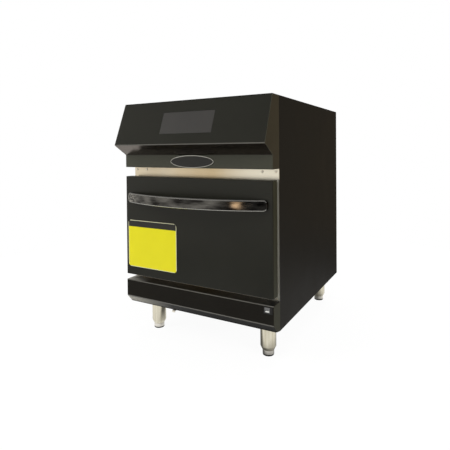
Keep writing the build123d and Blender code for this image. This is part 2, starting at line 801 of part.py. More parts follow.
# Magnetrons: a steel yoke round a stack of cooling fins, bolted to the inner face of each waveguide
yoke_x = (guide_x[0] - magnetron_x, guide_x[0])
yoke_y = around(guide_y, magnetron_y)
yoke_z = around(magnetron_mid, magnetron_z)
magnetron = block(yoke_x, yoke_y, yoke_z)
magnetron -= block(
    (yoke_x[0] + magnetron_wall, yoke_x[1] - magnetron_wall),
    (yoke_y[0] - overrun, yoke_y[1] + overrun),
    (yoke_z[0] + magnetron_wall, yoke_z[1] - magnetron_wall),
)
magnetron += rod_x(anode_radius, yoke_x, guide_y, magnetron_mid)
fin_pitch = magnetron_x / (fin_count + 1)
for index in range(1, fin_count + 1):
    fin_x = yoke_x[0] + index * fin_pitch
    magnetron += block(around(fin_x, fin_thick), around(guide_y, fin_side), yoke_z)
magnetron += rod_x(antenna_radius, (guide_x[0], guide_x[0] + antenna_length), guide_y, magnetron_mid)
save("magnetrons", *both_sides(magnetron))

# Plenum behind the cavity, with the heater, the catalyst disc and the blower wheel in it
plenum = block(liner_limits[0], (liner_rear, plenum_rear), liner_limits[2])
plenum -= block(cavity_x, (liner_rear - overrun, plenum_rear - sheet), (cavity_bottom, cavity_top))
plenum -= rod_y(2 * shaft_radius, 0, (liner_rear, plenum_rear + overrun), cavity_mid)
catalyst = rod_y(catalyst_radius, 0, (liner_rear, liner_rear + catalyst_thick), cavity_mid)
for x, z in inlet_places:
    catalyst -= rod_y(inlet_radius, x, (liner_rear - overrun, liner_rear + overrun), z)
save("catalyst_disc", catalyst)

# Heater: a sheathed loop round the wheel, whose two tails leave through the rear of the plenum
heater_y = liner_rear + plenum_depth / 2
loop_plane = Plane(origin=(0, heater_y, cavity_mid), x_dir=(1, 0, 0), z_dir=(0, -1, 0))
start_angle = -90 + heater_gap_angle / 2
loop = loop_plane * CenterArc((0, 0), heater_radius, start_angle, 360 - heater_gap_angle)
heater = sweep(Plane(origin=loop @ 0, z_dir=loop % 0) * Circle(heater_tube), path=loop)
tail_rise = heater_radius * sin(start_angle * pi / 180)
tail_side = heater_radius * cos(start_angle * pi / 180)
insulation_rear = plenum_rear + rear_insulation
rear_blanket = block(liner_limits[0], (plenum_rear, insulation_rear), liner_limits[2])
for x in (-tail_side, tail_side):
    tail_z = cavity_mid + tail_rise
    heater += rod_y(heater_tube, x, (heater_y, insulation_rear + heater_tail), tail_z)
    heater += Pos(x, heater_y, tail_z) * Sphere(heater_tube)
    tail_hole = rod_y(heater_tube + hole_gap, x, (liner_rear, insulation_rear + overrun), tail_z)
    plenum -= tail_hole
    rear_blanket -= tail_hole
save("heater_loop", heater)
save("plenum", plenum)

# Blower wheel on its shaft, motor mount on four posts, and the motor
wheel_back = liner_rear + catalyst_thick + wheel_depth + sheet + heater_tube
wheel_front = wheel_back - wheel_depth
wheel = rod_y(wheel_radius, 0, (wheel_back - sheet, wheel_back), cavity_mid)
wheel += rod_y(wheel_hub, 0, (wheel_front + sheet, wheel_back), cavity_mid)
bell_start = motor_front + motor_length - motor_bell
wheel += rod_y(shaft_radius, 0, (wheel_front, bell_start), cavity_mid)
blade_x = (wheel_eye, wheel_radius - sheet)
blade = block(blade_x, (wheel_front, wheel_back - sheet / 2), (-sheet / 2, sheet / 2))
for index in range(wheel_blades):
    wheel += Pos(0, 0, cavity_mid) * Rot(0, 360 * index / wheel_blades, 0) * blade
save("blower_wheel", wheel)
plate_start = motor_front - sheet
mount_z = around(cavity_mid, mount_size)
mount_plate = block(around(0, mount_size), (plate_start, motor_front), mount_z)
for x in (-1, 1):
    for z in (-1, 1):
        post_place = mount_size / 2 - 2 * mount_post_radius
        post_z = cavity_mid + z * post_place
        mount_plate += rod_y(mount_post_radius, x * post_place, (plenum_rear, plate_start), post_z)
        rear_blanket -= rod_y(mount_post_radius + body_gap, x * post_place, (0, body_depth), post_z)
mount_plate -= rod_y(2 * shaft_radius, 0, (0, body_depth), cavity_mid)
save("motor_mount", mount_plate)
rear_blanket -= rod_y(2 * shaft_radius, 0, (0, body_depth), cavity_mid)
save("rear_insulation", rear_blanket)
motor = rod_y(motor_radius, 0, (motor_front, bell_start), cavity_mid)
motor += rod_y(motor_radius - motor_bell, 0, (bell_start, bell_start + motor_bell), cavity_mid)
motor -= rod_y(shaft_radius + running_gap, 0, (0, bell_start + overrun), cavity_mid)
save("blower_motor", motor)

# High-voltage transformers and capacitors on the base pan, behind the plenum
iron_x, iron_y, iron_z = transformer_size
iron_top = pan_top + iron_z
core_y = around(transformer_y, iron_y - 2 * winding_margin)
core = block(around(transformer_x, iron_x), core_y, (pan_top, iron_top))
winding_z = (pan_top + winding_margin, iron_top - winding_margin)
winding = block(around(transformer_x, iron_x - 2 * winding_margin), around(transformer_y, iron_y), winding_z)
foot_z = (pan_top, pan_top + transformer_foot)
foot_plate = block(around(transformer_x, iron_x), around(transformer_y, iron_y), foot_z)
save("transformers", *both_sides(core + winding + foot_plate))
capacitor_shape = SlotOverall(capacitor_size[1], capacitor_size[0], rotation=90)
capacitor = Pos(capacitor_x, transformer_y, pan_top) * extrude(capacitor_shape, amount=capacitor_size[2])
save("capacitors", *both_sides(capacitor))

# Electronics shelf over the cavity, with the power board on it
shelf_z = insulation_top + shelf_lift
shelf_y = (frame_back + shelf_setback, cavity_rear + shelf_overhang)
shelf_side = shelf_width / 2
shelf = block((-shelf_side, shelf_side), shelf_y, (shelf_z - sheet, shelf_z))
shelf_edge_z = (insulation_top, shelf_z)
for edge in both_sides(block((shelf_side - sheet, shelf_side), shelf_y, shelf_edge_z)):
    shelf += edge
save("electronics_shelf", shelf)
board_x, board_y = power_board_size
board_low = shelf_z + standoff_length
power_board_y = cavity_rear - power_board_setback
power_board = block(around(0, board_x), around(power_board_y, board_y), (board_low, board_low + board_thick))
for x in (-1, 1):
    for y in (-1, 1):
        post_x = x * (board_x / 2 - 2 * standoff_radius)
        post_y = power_board_y + y * (board_y / 2 - 2 * standoff_radius)
        power_board += rod_z(standoff_radius, post_x, post_y, (shelf_z, board_low))
for index in range(-1, 2):
    relay_x = around(index * 2.5 * chip_size, chip_size)
    power_board += block(relay_x, around(power_board_y, chip_size), (board_low, board_low + chip_size))
save("power_board", power_board)

# Mains filter and terminal block on the base pan, near the inlet
box_x, box_y, box_z = filter_box_size
filter_box_x = (filter_box_gap - pan_side, filter_box_gap - pan_side + box_x)
filter_box_y = around(transformer_y - filter_box_setback, box_y)
save("mains_filter", block(filter_box_x, filter_box_y, (pan_top, pan_top + box_z)))
block_x, block_y, block_z = terminal_size
terminal_x = around(terminal_from_leg - leg_x, block_x)
terminal_y = around(body_depth - terminal_setback, block_y)
save("terminal_block", block(terminal_x, terminal_y, (pan_top, pan_top + block_z)))

# Cooling fan, flat on the base pan over the intake slots
fan_x_limits = around(intake_x, fan_side)
fan_y_limits = around(fan_y, fan_side)
fan_frame = block(fan_x_limits, fan_y_limits, (pan_top, pan_top + fan_depth))
fan_frame -= rod_z(fan_bore, intake_x, fan_y, (0, top_height))
web = (pan_top, pan_top + fan_web)
fan_frame += block(fan_x_limits, around(fan_y, fan_strut), web)
fan_frame += block(around(intake_x, fan_strut), fan_y_limits, web)
fan_frame += rod_z(fan_hub, intake_x, fan_y, web)
rotor_low = web[1] + body_gap
rotor_high = pan_top + fan_depth - fan_web
fan_frame += rod_z(fan_axle, intake_x, fan_y, (pan_top, rotor_high - fan_web))
save("cooling_fan_frame", fan_frame)
rotor = rod_z(fan_hub, intake_x, fan_y, (rotor_low, rotor_high))
blade_reach = fan_bore - 2 * running_gap - sheet
fan_blade = block((fan_hub - sheet, blade_reach), around(0, sheet), around(0, fan_depth * blade_share))
rotor_middle = Pos(intake_x, fan_y, (rotor_low + rotor_high) / 2)
for index in range(fan_blades):
    turn = Rot(0, 0, 360 * index / fan_blades)
    rotor += rotor_middle * turn * Rot(fan_blade_turn, 0, 0) * fan_blade
rotor -= rod_z(fan_axle + running_gap, intake_x, fan_y, (0, rotor_high - fan_web + body_gap))
save("cooling_fan_rotor", rotor)

# Intake filter: a framed pad that slides in two rails under the base pan, with a pull tab at the front
tray_x = around(intake_x, tray_width)
tray_y = (tray_front, tray_front + tray_length)
tray_z = (leg_height - body_gap - tray_thick, leg_height - body_gap)
hole_x = around(intake_x, tray_width - 2 * tray_border)
hole_y = (tray_y[0] + tray_border, tray_y[1] - tray_border)
tray = block(tray_x, tray_y, tray_z) - block(hole_x, hole_y, (0, leg_height))
tab_x = around(intake_x, tab_width)
tab_front = lip_reach + tab_setback
tray += block(tab_x, (tab_front, tray_front), (tray_z[0], tray_z[0] + sheet))
tray += block(tab_x, (tab_front, tab_front + sheet), (tray_z[0] - tab_drop, tray_z[0] + sheet))
save("filter_tray", tray)
pad_x = (hole_x[0] + pad_gap, hole_x[1] - pad_gap)
pad_y = (hole_y[0] + pad_gap, hole_y[1] - pad_gap)
save("filter_pad", block(pad_x, pad_y, tray_z))
rail_low = tray_z[0] - body_gap - sheet
rail_x = tray_width / 2 + body_gap
rail = block((rail_x, rail_x + sheet), tray_y, (rail_low, leg_height))
rail += block((tray_width / 2 - rail_lip, rail_x + sheet), tray_y, (rail_low, rail_low + sheet))
save("filter_rails", *[Pos(intake_x, 0, 0) * side_rail for side_rail in both_sides(rail)])

# Legs: a tapered stainless tube with a stud through the base pan, and a foot on a stem screwed up into it
leg = rod_z(leg_radius, 0, 0, (taper_top, leg_height))
taper_height = taper_top - foot_height - body_gap
taper = Cone(taper_radius, leg_radius, taper_height)
leg += Pos(0, 0, foot_height + body_gap + taper_height / 2) * taper
leg -= rod_z(leg_radius - leg_wall, 0, 0, (taper_top + collar_height, leg_height - leg_wall))
leg -= rod_z(stem_radius + running_gap, 0, 0, (0, leg_height - leg_wall))
leg += rod_z(stud_radius, 0, 0, (leg_height - leg_wall, pan_top + stud_length))
foot = rod_z(foot_radius, 0, 0, (0, foot_height))
foot = fillet(foot.edges().group_by(Axis.Z)[0], foot_edge)
foot += rod_z(stem_radius, 0, 0, (foot_height, foot_height + stem_length))
corners = ("front_left", "rear_left", "front_right", "rear_right")
for corner, (x, y) in zip(corners, leg_places):
    save(f"{corner}_foot", Pos(x, y, 0) * foot)
save("leg_tubes", *[Pos(x, y, 0) * leg for x, y in leg_places])
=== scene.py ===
import json
import math

import bpy
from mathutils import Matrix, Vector

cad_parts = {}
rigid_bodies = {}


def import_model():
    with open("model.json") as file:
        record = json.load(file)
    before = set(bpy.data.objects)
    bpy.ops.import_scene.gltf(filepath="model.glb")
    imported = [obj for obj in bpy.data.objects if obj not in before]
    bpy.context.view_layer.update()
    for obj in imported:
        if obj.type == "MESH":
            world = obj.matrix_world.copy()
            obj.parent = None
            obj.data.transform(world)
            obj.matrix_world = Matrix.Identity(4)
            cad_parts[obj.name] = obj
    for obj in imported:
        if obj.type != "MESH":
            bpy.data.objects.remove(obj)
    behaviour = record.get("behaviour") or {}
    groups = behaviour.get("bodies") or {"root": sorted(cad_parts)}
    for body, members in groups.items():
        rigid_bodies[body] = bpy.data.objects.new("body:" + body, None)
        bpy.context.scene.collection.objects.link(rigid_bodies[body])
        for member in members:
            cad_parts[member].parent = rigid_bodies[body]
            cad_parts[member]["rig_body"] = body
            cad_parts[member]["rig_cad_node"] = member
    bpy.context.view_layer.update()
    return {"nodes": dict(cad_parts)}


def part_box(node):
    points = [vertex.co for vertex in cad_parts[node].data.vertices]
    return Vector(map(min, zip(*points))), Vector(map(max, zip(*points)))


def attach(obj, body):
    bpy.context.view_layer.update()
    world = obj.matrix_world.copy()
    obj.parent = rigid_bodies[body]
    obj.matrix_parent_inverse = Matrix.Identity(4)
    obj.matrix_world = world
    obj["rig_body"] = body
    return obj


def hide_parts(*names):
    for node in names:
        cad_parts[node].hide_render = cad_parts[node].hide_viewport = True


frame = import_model()
nodes = frame["nodes"]
scene = bpy.context.scene

# Camera: it stands in front of the oven and to its right, at four fifths of its height, and looks down by
# less than a degree. Its values were fitted to the oven's corners in an image of 450 by 450 pixels.
image_side = 450
focal_pixels = 410.54
axis_row = 156.31
film_width = 36.0
camera_data = bpy.data.cameras.new("camera")
camera = bpy.data.objects.new("camera", camera_data)
scene.collection.objects.link(camera)
camera.location = (0.6598, -1.2729, 0.5792)
camera.rotation_mode = "XYZ"
camera.rotation_euler = [math.radians(turn) for turn in (89.152, 0.476, 29.387)]
camera_data.sensor_width = film_width
camera_data.lens = focal_pixels / image_side * film_width
camera_data.shift_y = (axis_row - image_side / 2) / image_side
camera_data.clip_end = 50
scene.camera = camera
scene.view_settings.view_transform = "Standard"


# Studio: a white room with four large soft lamps. The camera sees plain white. Polished metal mirrors a
# bright left side, a dim right side, a warm window at the right rear and a small warm lamp in front.
def linear(colour):
    """An sRGB hex colour as linear red, green, blue and alpha."""
    shares = [int(colour[start : start + 2], 16) / 255 for start in (1, 3, 5)]
    return [s / 12.92 if s <= 0.04045 else ((s + 0.055) / 1.055) ** 2.4 for s in shares] + [1]


def wire(node, links):
    """Link inputs, by name or number, each to an output or to another node's first output."""
    for name, source in dict(links).items():
        node.id_data.links.new(getattr(source, "outputs", [source])[0], node.inputs[name])


def add_node(tree, kind, settings=(), links=()):
    """Add a shader node, set its own settings and its sockets by name or number, and link its inputs."""
    node = tree.nodes.new("ShaderNode" + kind)
    for name, value in dict(settings).items():
        if isinstance(name, str) and hasattr(node, name):
            setattr(node, name, value)
        else:
            node.inputs[name].default_value = value
    wire(node, links)
    return node


world = bpy.data.worlds.new("studio")
scene.world = world
world.use_nodes = True
room = world.node_tree
room.nodes.clear()
ray = add_node(room, "LightPath")
direction = add_node(room, "TexCoord").outputs["Generated"]
sides = add_node(room, "SeparateXYZ", links={0: direction})
from_rear = add_node(
    room,
    "MapRange",
    {"From Min": -0.1, "From Max": 0.45, "To Min": 1.35, "To Max": 1.0},
    {"Value": sides.outputs["Y"]},
)
# How light the mirrored room is along each axis: places from one side to the other, and their levels.
shades = {}
for axis, steps in (
    ("X", ((0.0, 0.75), (0.17, 0.74), (0.25, 0.62), (0.34, 1.0), (0.43, 0.45), (0.6, 0.1))),
    ("Z", ((0.22, 0.2), (0.48, 1.0), (0.74, 0.5), (1.0, 0.4))),
):
    along_axis = add_node(
        room, "MapRange", {"From Min": -1.0, "From Max": 1.0}, {"Value": sides.outputs[axis]}
    )
    shades[axis] = add_node(room, "ValToRGB", links={"Fac": along_axis})
    stops = shades[axis].color_ramp.elements
    stops[0].position = steps[0][0]
    stops[-1].position = steps[-1][0]
    for step in steps[1:-1]:
        stops.new(step[0])
    for stop, (position, shade) in zip(stops, steps):
        stop.color = (shade, shade, shade, 1)
facing = {}
for lamp_name, towards, edge, heart, strength in (
    ("window", (0.6, 0.8, 0.0), 0.5, 0.95, 1.0),
    ("front_lamp", (0.1, -0.99, -0.1), 0.9972, 0.9996, 7.0),
):
    cosine = add_node(room, "VectorMath", {"operation": "DOT_PRODUCT", 1: towards}, {0: direction})
    facing[lamp_name] = add_node(
        room,
        "MapRange",
        {"From Min": edge, "From Max": heart, "To Max": strength},
        {"Value": cosine.outputs["Value"]},
    )
window_strength = 0.36
walls = add_node(room, "Math", {"operation": "MULTIPLY"}, {0: from_rear, 1: shades["X"]})
all_light = add_node(
    room, "Math", {"operation": "MULTIPLY_ADD", 1: window_strength}, {0: facing["window"], 2: walls}
)
brightness = add_node(room, "Math", {"operation": "MULTIPLY"}, {0: all_light, 1: shades["Z"]})
warmth = add_node(
    room, "Mix", {"data_type": "RGBA", 6: linear("#FFFBF4"), 7: linear("#E9CDA0")}, {0: facing["window"]}
)
mirrored_room = add_node(room, "Background", links={"Color": warmth.outputs[2], "Strength": brightness})
mirrored_lamp = add_node(room, "Background", {"Color": linear("#F6CDA0")}, {"Strength": facing["front_lamp"]})
mirrored = add_node(room, "AddShader", links={0: mirrored_room, 1: mirrored_lamp})
fill_light = add_node(room, "Background", {"Color": linear("#F2F4F8"), "Strength": 0.5})
seen = add_node(room, "Background", {"Color": linear("#FFFFFF"), "Strength": 1.0})
shiny = add_node(
    room,
    "Math",
    {"operation": "MAXIMUM"},
    {0: ray.outputs["Is Glossy Ray"], 1: ray.outputs["Is Transmission Ray"]},
)
unseen = add_node(room, "MixShader", links={0: shiny, 1: fill_light, 2: mirrored})
whole = add_node(room, "MixShader", links={0: ray.outputs["Is Camera Ray"], 1: unseen, 2: seen})
add_node(room, "OutputWorld", links={0: whole})

lamp_aim = Vector((0, 0, 0.35))
for lamp_name, place, lamp_size, power in (
    ("key_lamp", (-1.9, -2.2, 2.2), 1.8, 52.0),
    ("top_lamp", (0.3, 0.2, 2.9), 2.2, 34.0),
    ("right_lamp", (2.6, -0.9, 1.3), 1.6, 22.0),
    ("rear_lamp", (-0.8, 2.6, 1.9), 1.8, 30.0),
):
    lamp_data = bpy.data.lights.new(lamp_name, "AREA")
    lamp_data.shape = "DISK"
    lamp_data.size = lamp_size
    lamp_data.energy = power
    lamp = bpy.data.objects.new(lamp_name, lamp_data)
    scene.collection.objects.link(lamp)
    lamp.visible_glossy = False
    lamp.location = place
    lamp.rotation_euler = (lamp_aim - Vector(place)).to_track_quat("-Z", "Y").to_euler()

# Floor: a white ground that shows white to the camera and keeps the oven's shadow. Polished metal mirrors
# it bright in an oval patch round the oven, and dim further off and in the shade under the oven.
camera_glow = 0.93
mirror_glow = 0.75
shade_depth = 0.85
bpy.ops.object.select_all(action="DESELECT")
bpy.ops.mesh.primitive_circle_add(vertices=96, radius=1.5, fill_type="NGON", location=(0, 0, 0))
floor = bpy.context.active_object
floor.name = "floor"
floor_finish = bpy.data.materials.new("studio floor")
floor_finish.use_nodes = True
ground = floor_finish.node_tree
ground.nodes.clear()
floor_ray = add_node(ground, "LightPath")
floor_grain = add_node(ground, "TexNoise", {"Scale": 3.0, "Detail": 2.0})
floor_tint = add_node(
    ground, "Mix", {"data_type": "RGBA", 6: linear("#EEEDE9"), 7: linear("#F4F3F0")}, {0: floor_grain}
)
lit = add_node(ground, "BsdfDiffuse", {"Roughness": 0.5}, {"Color": floor_tint.outputs[2]})
glow = add_node(ground, "Emission", {"Color": linear("#FFFFFF"), "Strength": 1.02})
mirrored_here = floor_ray.outputs["Is Glossy Ray"]
mirror_share = add_node(ground, "Math", {"operation": "MULTIPLY", 1: mirror_glow}, {0: mirrored_here})
glow_share = add_node(
    ground,
    "Math",
    {"operation": "MULTIPLY_ADD", 1: camera_glow},
    {0: floor_ray.outputs["Is Camera Ray"], 2: mirror_share},
)
white_ground = add_node(ground, "MixShader", links={0: glow_share, 1: lit, 2: glow})
floor_place = add_node(ground, "TexCoord").outputs["Object"]
lit_patch = add_node(
    ground, "Mapping", {"Location": (0.12, 0.0, 0.0), "Scale": (0.6, 1.0, 1.0)}, {"Vector": floor_place}
)
from_patch = add_node(ground, "VectorMath", {"operation": "LENGTH"}, {0: lit_patch})
dimmed = add_node(
    ground,
    "MapRange",
    {"From Min": 0.38, "From Max": 0.9, "To Max": 0.8},
    {"Value": from_patch.outputs["Value"]},
)
floor_sides = add_node(ground, "SeparateXYZ", links={0: floor_place})
under_oven = []
for axis, middle, half, blur in (("X", 0.05, 0.19, 0.05), ("Y", 0.02, 0.27, 0.02)):
    from_middle = add_node(
        ground, "Math", {"operation": "SUBTRACT", 1: middle}, {0: floor_sides.outputs[axis]}
    )
    off_middle = add_node(ground, "Math", {"operation": "ABSOLUTE"}, {0: from_middle})
    within = add_node(
        ground,
        "MapRange",
        {"From Min": half - blur, "From Max": half + blur, "To Min": 1.0, "To Max": 0.0},
        {"Value": off_middle},
    )
    under_oven.append(within)
in_shade = add_node(ground, "Math", {"operation": "MULTIPLY"}, {0: under_oven[0], 1: under_oven[1]})
shaded = add_node(ground, "Math", {"operation": "MULTIPLY", 1: shade_depth}, {0: in_shade})
darker = add_node(ground, "Math", {"operation": "MAXIMUM"}, {0: dimmed, 1: shaded})
dark_share = add_node(ground, "Math", {"operation": "MULTIPLY"}, {0: darker, 1: mirrored_here})
whole_ground = add_node(ground, "MixShader", links={0: dark_share, 1: white_ground})
add_node(ground, "OutputMaterial", links={0: whole_ground})
floor.data.materials.append(floor_finish)


# Cabinet sides: each is one flat panel of 1.5 mm sheet steel, powder coated black. Its edges are broken
# by the deburring and rounded by the coat.
corner_angle = math.radians(40)


def set_shader(finish, constants):
    """Set constants on the Principled shader of a finish."""
    for name, value in constants.items():
        finish.node_tree.nodes["Principled BSDF"].inputs[name].default_value = value


def new_finish(name, constants):
    """A material, its node tree and the place on the piece that its patterns read."""
    finish = bpy.data.materials.new(name)
    finish.use_nodes = True
    set_shader(finish, constants)
    tree = finish.node_tree
    return finish, tree, add_node(tree, "TexCoord").outputs["Object"]


def lay_pattern(tree, colours, relief=None, gloss=None):
    """Let patterns mix two colours, raise the surface by a strength and depth, and spread its roughness."""
    shader = tree.nodes["Principled BSDF"]
    source, dark, light = colours
    tint = add_node(tree, "Mix", {"data_type": "RGBA", 6: linear(dark), 7: linear(light)}, {0: source})
    wire(shader, {"Base Color": tint.outputs[2]})
    if relief:
        source, strength, depth = relief
        bump = add_node(tree, "Bump", {"Strength": strength, "Distance": depth}, {"Height": source})
        wire(shader, {"Normal": bump})
    if gloss:
        source, least, most = gloss
        worn = add_node(tree, "MapRange", {"To Min": least, "To Max": most}, {"Value": source})
        wire(shader, {"Roughness": worn})


def powder_coat(name, light, dark, roughness, specular):
    """Powder coat: a fine orange-peel bump, and a slow change in shade and gloss as where hands wipe it."""
    finish, tree, place = new_finish(name, {"Roughness": roughness, "Specular IOR Level": specular})
    peel_width = 0.0016
    wipe_width = 0.12
    peel = add_node(
        tree, "TexNoise", {"Scale": 1 / peel_width, "Detail": 2.0, "Roughness": 0.5}, {"Vector": place}
    )
    wiped = add_node(
        tree, "TexNoise", {"Scale": 1 / wipe_width, "Detail": 3.0, "Roughness": 0.55}, {"Vector": place}
    )
    gloss = (wiped, roughness - 0.07, roughness + 0.09)
    lay_pattern(tree, (wiped, dark, light), (peel, 0.12, 0.0002), gloss)
    return finish


def start_on(piece):
    """Leave edit mode, then make one piece the only selected and the active one."""
    if bpy.context.mode != "OBJECT":
        bpy.ops.object.mode_set(mode="OBJECT")
    bpy.ops.object.select_all(action="DESELECT")
    piece.select_set(True)
    bpy.context.view_layer.objects.active = piece


def settle(piece):
    """Put a piece's place, turn and size into its mesh, which leaves its object at the origin."""
    start_on(piece)
    bpy.ops.object.transform_apply(location=True, rotation=True, scale=True)


def block(name, low, high):
    """A block between two corners: a cube that is added at its size and place."""
    bpy.ops.object.select_all(action="DESELECT")
    bpy.ops.mesh.primitive_cube_add(size=1, location=[(a + b) / 2 for a, b in zip(low, high)])
    piece = bpy.context.active_object
    piece.name = name
    piece.scale = [b - a for a, b in zip(low, high)]
    settle(piece)
    return piece


def modify(piece, kind, **settings):
    """Add one modifier to a piece and apply it."""
    start_on(piece)
    modifier = piece.modifiers.new(kind.lower(), kind)
    for name, value in settings.items():
        setattr(modifier, name, value)
    bpy.ops.object.modifier_apply(modifier=modifier.name)


def shade_smooth(piece):
    """Shade a piece smooth, with its corners sharp and its flat faces kept flat."""
    start_on(piece)
    bpy.ops.object.shade_smooth_by_angle(angle=corner_angle)
    modify(piece, "WEIGHTED_NORMAL", keep_sharp=True)


def break_edges(piece, width, segments=2):
    """Round a piece's sharp edges a little."""
    modify(piece, "BEVEL", width=width, segments=segments, limit_method="ANGLE", angle_limit=corner_angle)
    shade_smooth(piece)


def hand_over(piece, body, slot, finish, *stood_for):
    """Give a finished piece its material and its body, and hide the nodes it stands for. The slot is not
    used.
    """
    piece.data.name = piece.name
    piece.data.materials.append(finish)
    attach(piece, body)
    if stood_for:
        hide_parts(*stood_for)


cabinet_coat = powder_coat("black powder coat, satin", "#24221E", "#1D1B18", 0.5, 0.03)
for panel in ("left_side_panel", "right_side_panel"):
    side_sheet = block(panel + "_sheet", *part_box(panel))
    break_edges(side_sheet, 0.0005)
    hand_over(side_sheet, "cabinet", "black_paint", cabinet_coat, panel)

# Top cover and rear panel: the cover is one coated sheet that lies on the sides, with rounded edges. The
# rear panel keeps its louvre slots as they are.
sheet_thick = 0.0015
cover_low, cover_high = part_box("top_cover")
cover = block("top_cover_sheet", (cover_low.x, cover_low.y, cover_high.z - sheet_thick), cover_high)
break_edges(cover, 0.0006)
hand_over(cover, "cabinet", "black_paint", cabinet_coat, "top_cover")
nodes["rear_panel"].material_slots[0].material = cabinet_coat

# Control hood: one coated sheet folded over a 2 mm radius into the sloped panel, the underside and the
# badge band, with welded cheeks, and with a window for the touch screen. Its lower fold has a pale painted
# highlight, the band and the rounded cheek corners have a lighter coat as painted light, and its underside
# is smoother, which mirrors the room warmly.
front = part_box("door_outer_skin")[0].y
hood_low, hood_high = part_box("control_hood")
tip_height = 0.5965
tip_reach = 0.0495
tip_front = front - tip_reach
band_top = 0.5665
fold = 0.002
weld = 0.0008
straight = 0.99  # the share along an axis from which a direction counts as along it


def pick(piece, kind, wanted):
    """Enter edit mode with only those vertices, edges or faces selected that pass a test of their place."""
    start_on(piece)
    bpy.ops.object.mode_set(mode="EDIT")
    bpy.ops.mesh.select_mode(type=kind)
    bpy.ops.mesh.select_all(action="DESELECT")
    bpy.ops.object.mode_set(mode="OBJECT")
    mesh = piece.data
    if kind == "FACE":
        for face in mesh.polygons:
            face.select = wanted(face.center, face.normal)
    elif kind == "EDGE":
        for edge in mesh.edges:
            start, end = [mesh.vertices[index].co for index in edge.vertices]
            edge.select = wanted((start + end) / 2, (end - start).normalized())
    else:
        for vertex in mesh.vertices:
            vertex.select = wanted(vertex.co, vertex.normal)
    bpy.ops.object.mode_set(mode="EDIT")


def round_edges(piece, radius, segments, wanted):
    """Round the edges that pass a test of their middle and direction."""
    pick(piece, "EDGE", wanted)
    bpy.ops.mesh.bevel(offset=radius, segments=segments, affect="EDGES")
    bpy.ops.object.mode_set(mode="OBJECT")


def slice_off(piece, point, outward):
    """Cut a piece along a plane, remove what is on the outer side and close the cut."""
    pick(piece, "FACE", lambda middle, normal: True)
    bpy.ops.mesh.bisect(plane_co=point, plane_no=outward, use_fill=True, clear_outer=True)
    bpy.ops.object.mode_set(mode="OBJECT")


def cut_out(piece, cutter):
    """Cut the shape of a second piece out of the first, and remove the second."""
    modify(piece, "BOOLEAN", operation="DIFFERENCE", solver="EXACT", object=cutter)
    bpy.data.objects.remove(cutter)


def paint_faces(piece, finish, wanted):
    """Give the faces that pass a test a finish, which may be a further one on the piece."""
    coats = piece.data.materials
    if finish.name not in coats:
        coats.append(finish)
    piece.active_material_index = coats.find(finish.name)
    pick(piece, "FACE", wanted)
    bpy.ops.object.material_slot_assign()
    bpy.ops.object.mode_set(mode="OBJECT")


hood = block("control_hood_sheet", (hood_low.x, tip_front, band_top), hood_high)
slice_off(hood, (0, front, hood_high.z), (0, tip_height - hood_high.z, front - tip_front))
slice_off(hood, (0, front, band_top), (0, band_top - tip_height, tip_front - front))
pick(hood, "FACE", lambda middle, normal: normal.z < -straight)
bpy.ops.mesh.extrude_region_move(TRANSFORM_OT_translate={"value": (0, 0, hood_low.z - band_top)})
bpy.ops.mesh.select_all(action="SELECT")
bpy.ops.mesh.dissolve_limited(angle_limit=math.radians(1))
pick(hood, "FACE", lambda middle, normal: normal.y > straight)
bpy.ops.mesh.delete(type="FACE")
round_edges(hood, fold, 4, lambda middle, along: abs(along.x) > straight and middle.y < hood_high.y - fold)
round_edges(
    hood,
    weld,
    2,
    lambda middle, along: abs(along.x) < 0.5
    and abs(middle.x) > hood_high.x - weld
    and middle.y < hood_high.y - weld / 2,
)
modify(hood, "SOLIDIFY", thickness=sheet_thick, offset=-1, use_even_offset=True)
slope_face = Vector((0, tip_height - hood_high.z, front - tip_front)).normalized()
slope_down = Vector((0, tip_front - front, tip_height - hood_high.z)).normalized()
slope_turn = math.atan2(-slope_face.y, slope_face.z)
screen_size = (0.175, 0.067)
screen_gap = 0.0002
screen_drop = 0.0695
screen_middle = Vector((0, front, hood_high.z)) + slope_down * screen_drop


def slope_block(name, middle, size):
    """A block that lies along the sloped panel."""
    piece = block(name, [-length / 2 for length in size], [length / 2 for length in size])
    piece.rotation_euler = (slope_turn, 0, 0)
    piece.location = middle
    settle(piece)
    return piece


window = (screen_size[0] + 2 * screen_gap, screen_size[1] + 2 * screen_gap, 20 * sheet_thick)
cut_out(hood, slope_block("window", screen_middle, window))
break_edges(hood, 0.0003)
front_coat = powder_coat("black powder coat, semi-gloss", "#21211A", "#1A1A14", 0.34, 0.3)
# Painted highlight: a pale coat laid on folds and edges where they catch light.
painted_edge_highlight_coat = powder_coat("black powder coat, painted edge highlight", "#6C6A63", "#57554F", 0.36, 0.3)
# Painted light: a lighter coat for the badge band and the rounded cheek corners, as light falls on them.
lit_band_coat = powder_coat("black powder coat, band with painted light", "#444439", "#393A30", 0.34, 0.3)
gloss_coat = powder_coat("black powder coat, gloss", "#14120F", "#0F0E0B", 0.2, 1.0)
set_shader(gloss_coat, {"Specular Tint": linear("#FFDFC0")})
hand_over(hood, "cabinet", "black_paint", front_coat, "control_hood")
paint_faces(hood, gloss_coat, lambda middle, normal: normal.z < -0.7 and middle.z > band_top)
# The tip fold gets the pale coat as a painted highlight.
paint_faces(hood, painted_edge_highlight_coat, lambda middle, normal: middle.y < tip_front + fold and abs(normal.x) < 0.5)
# The band and the cheek corners get the lighter coat as painted light.
paint_faces(
    hood,
    lit_band_coat,
    lambda middle, normal: (abs(middle.x) > hood_high.x - weld and 0.15 < abs(normal.x) < 0.98)
    or (normal.y < -0.9 and middle.z < band_top),
)
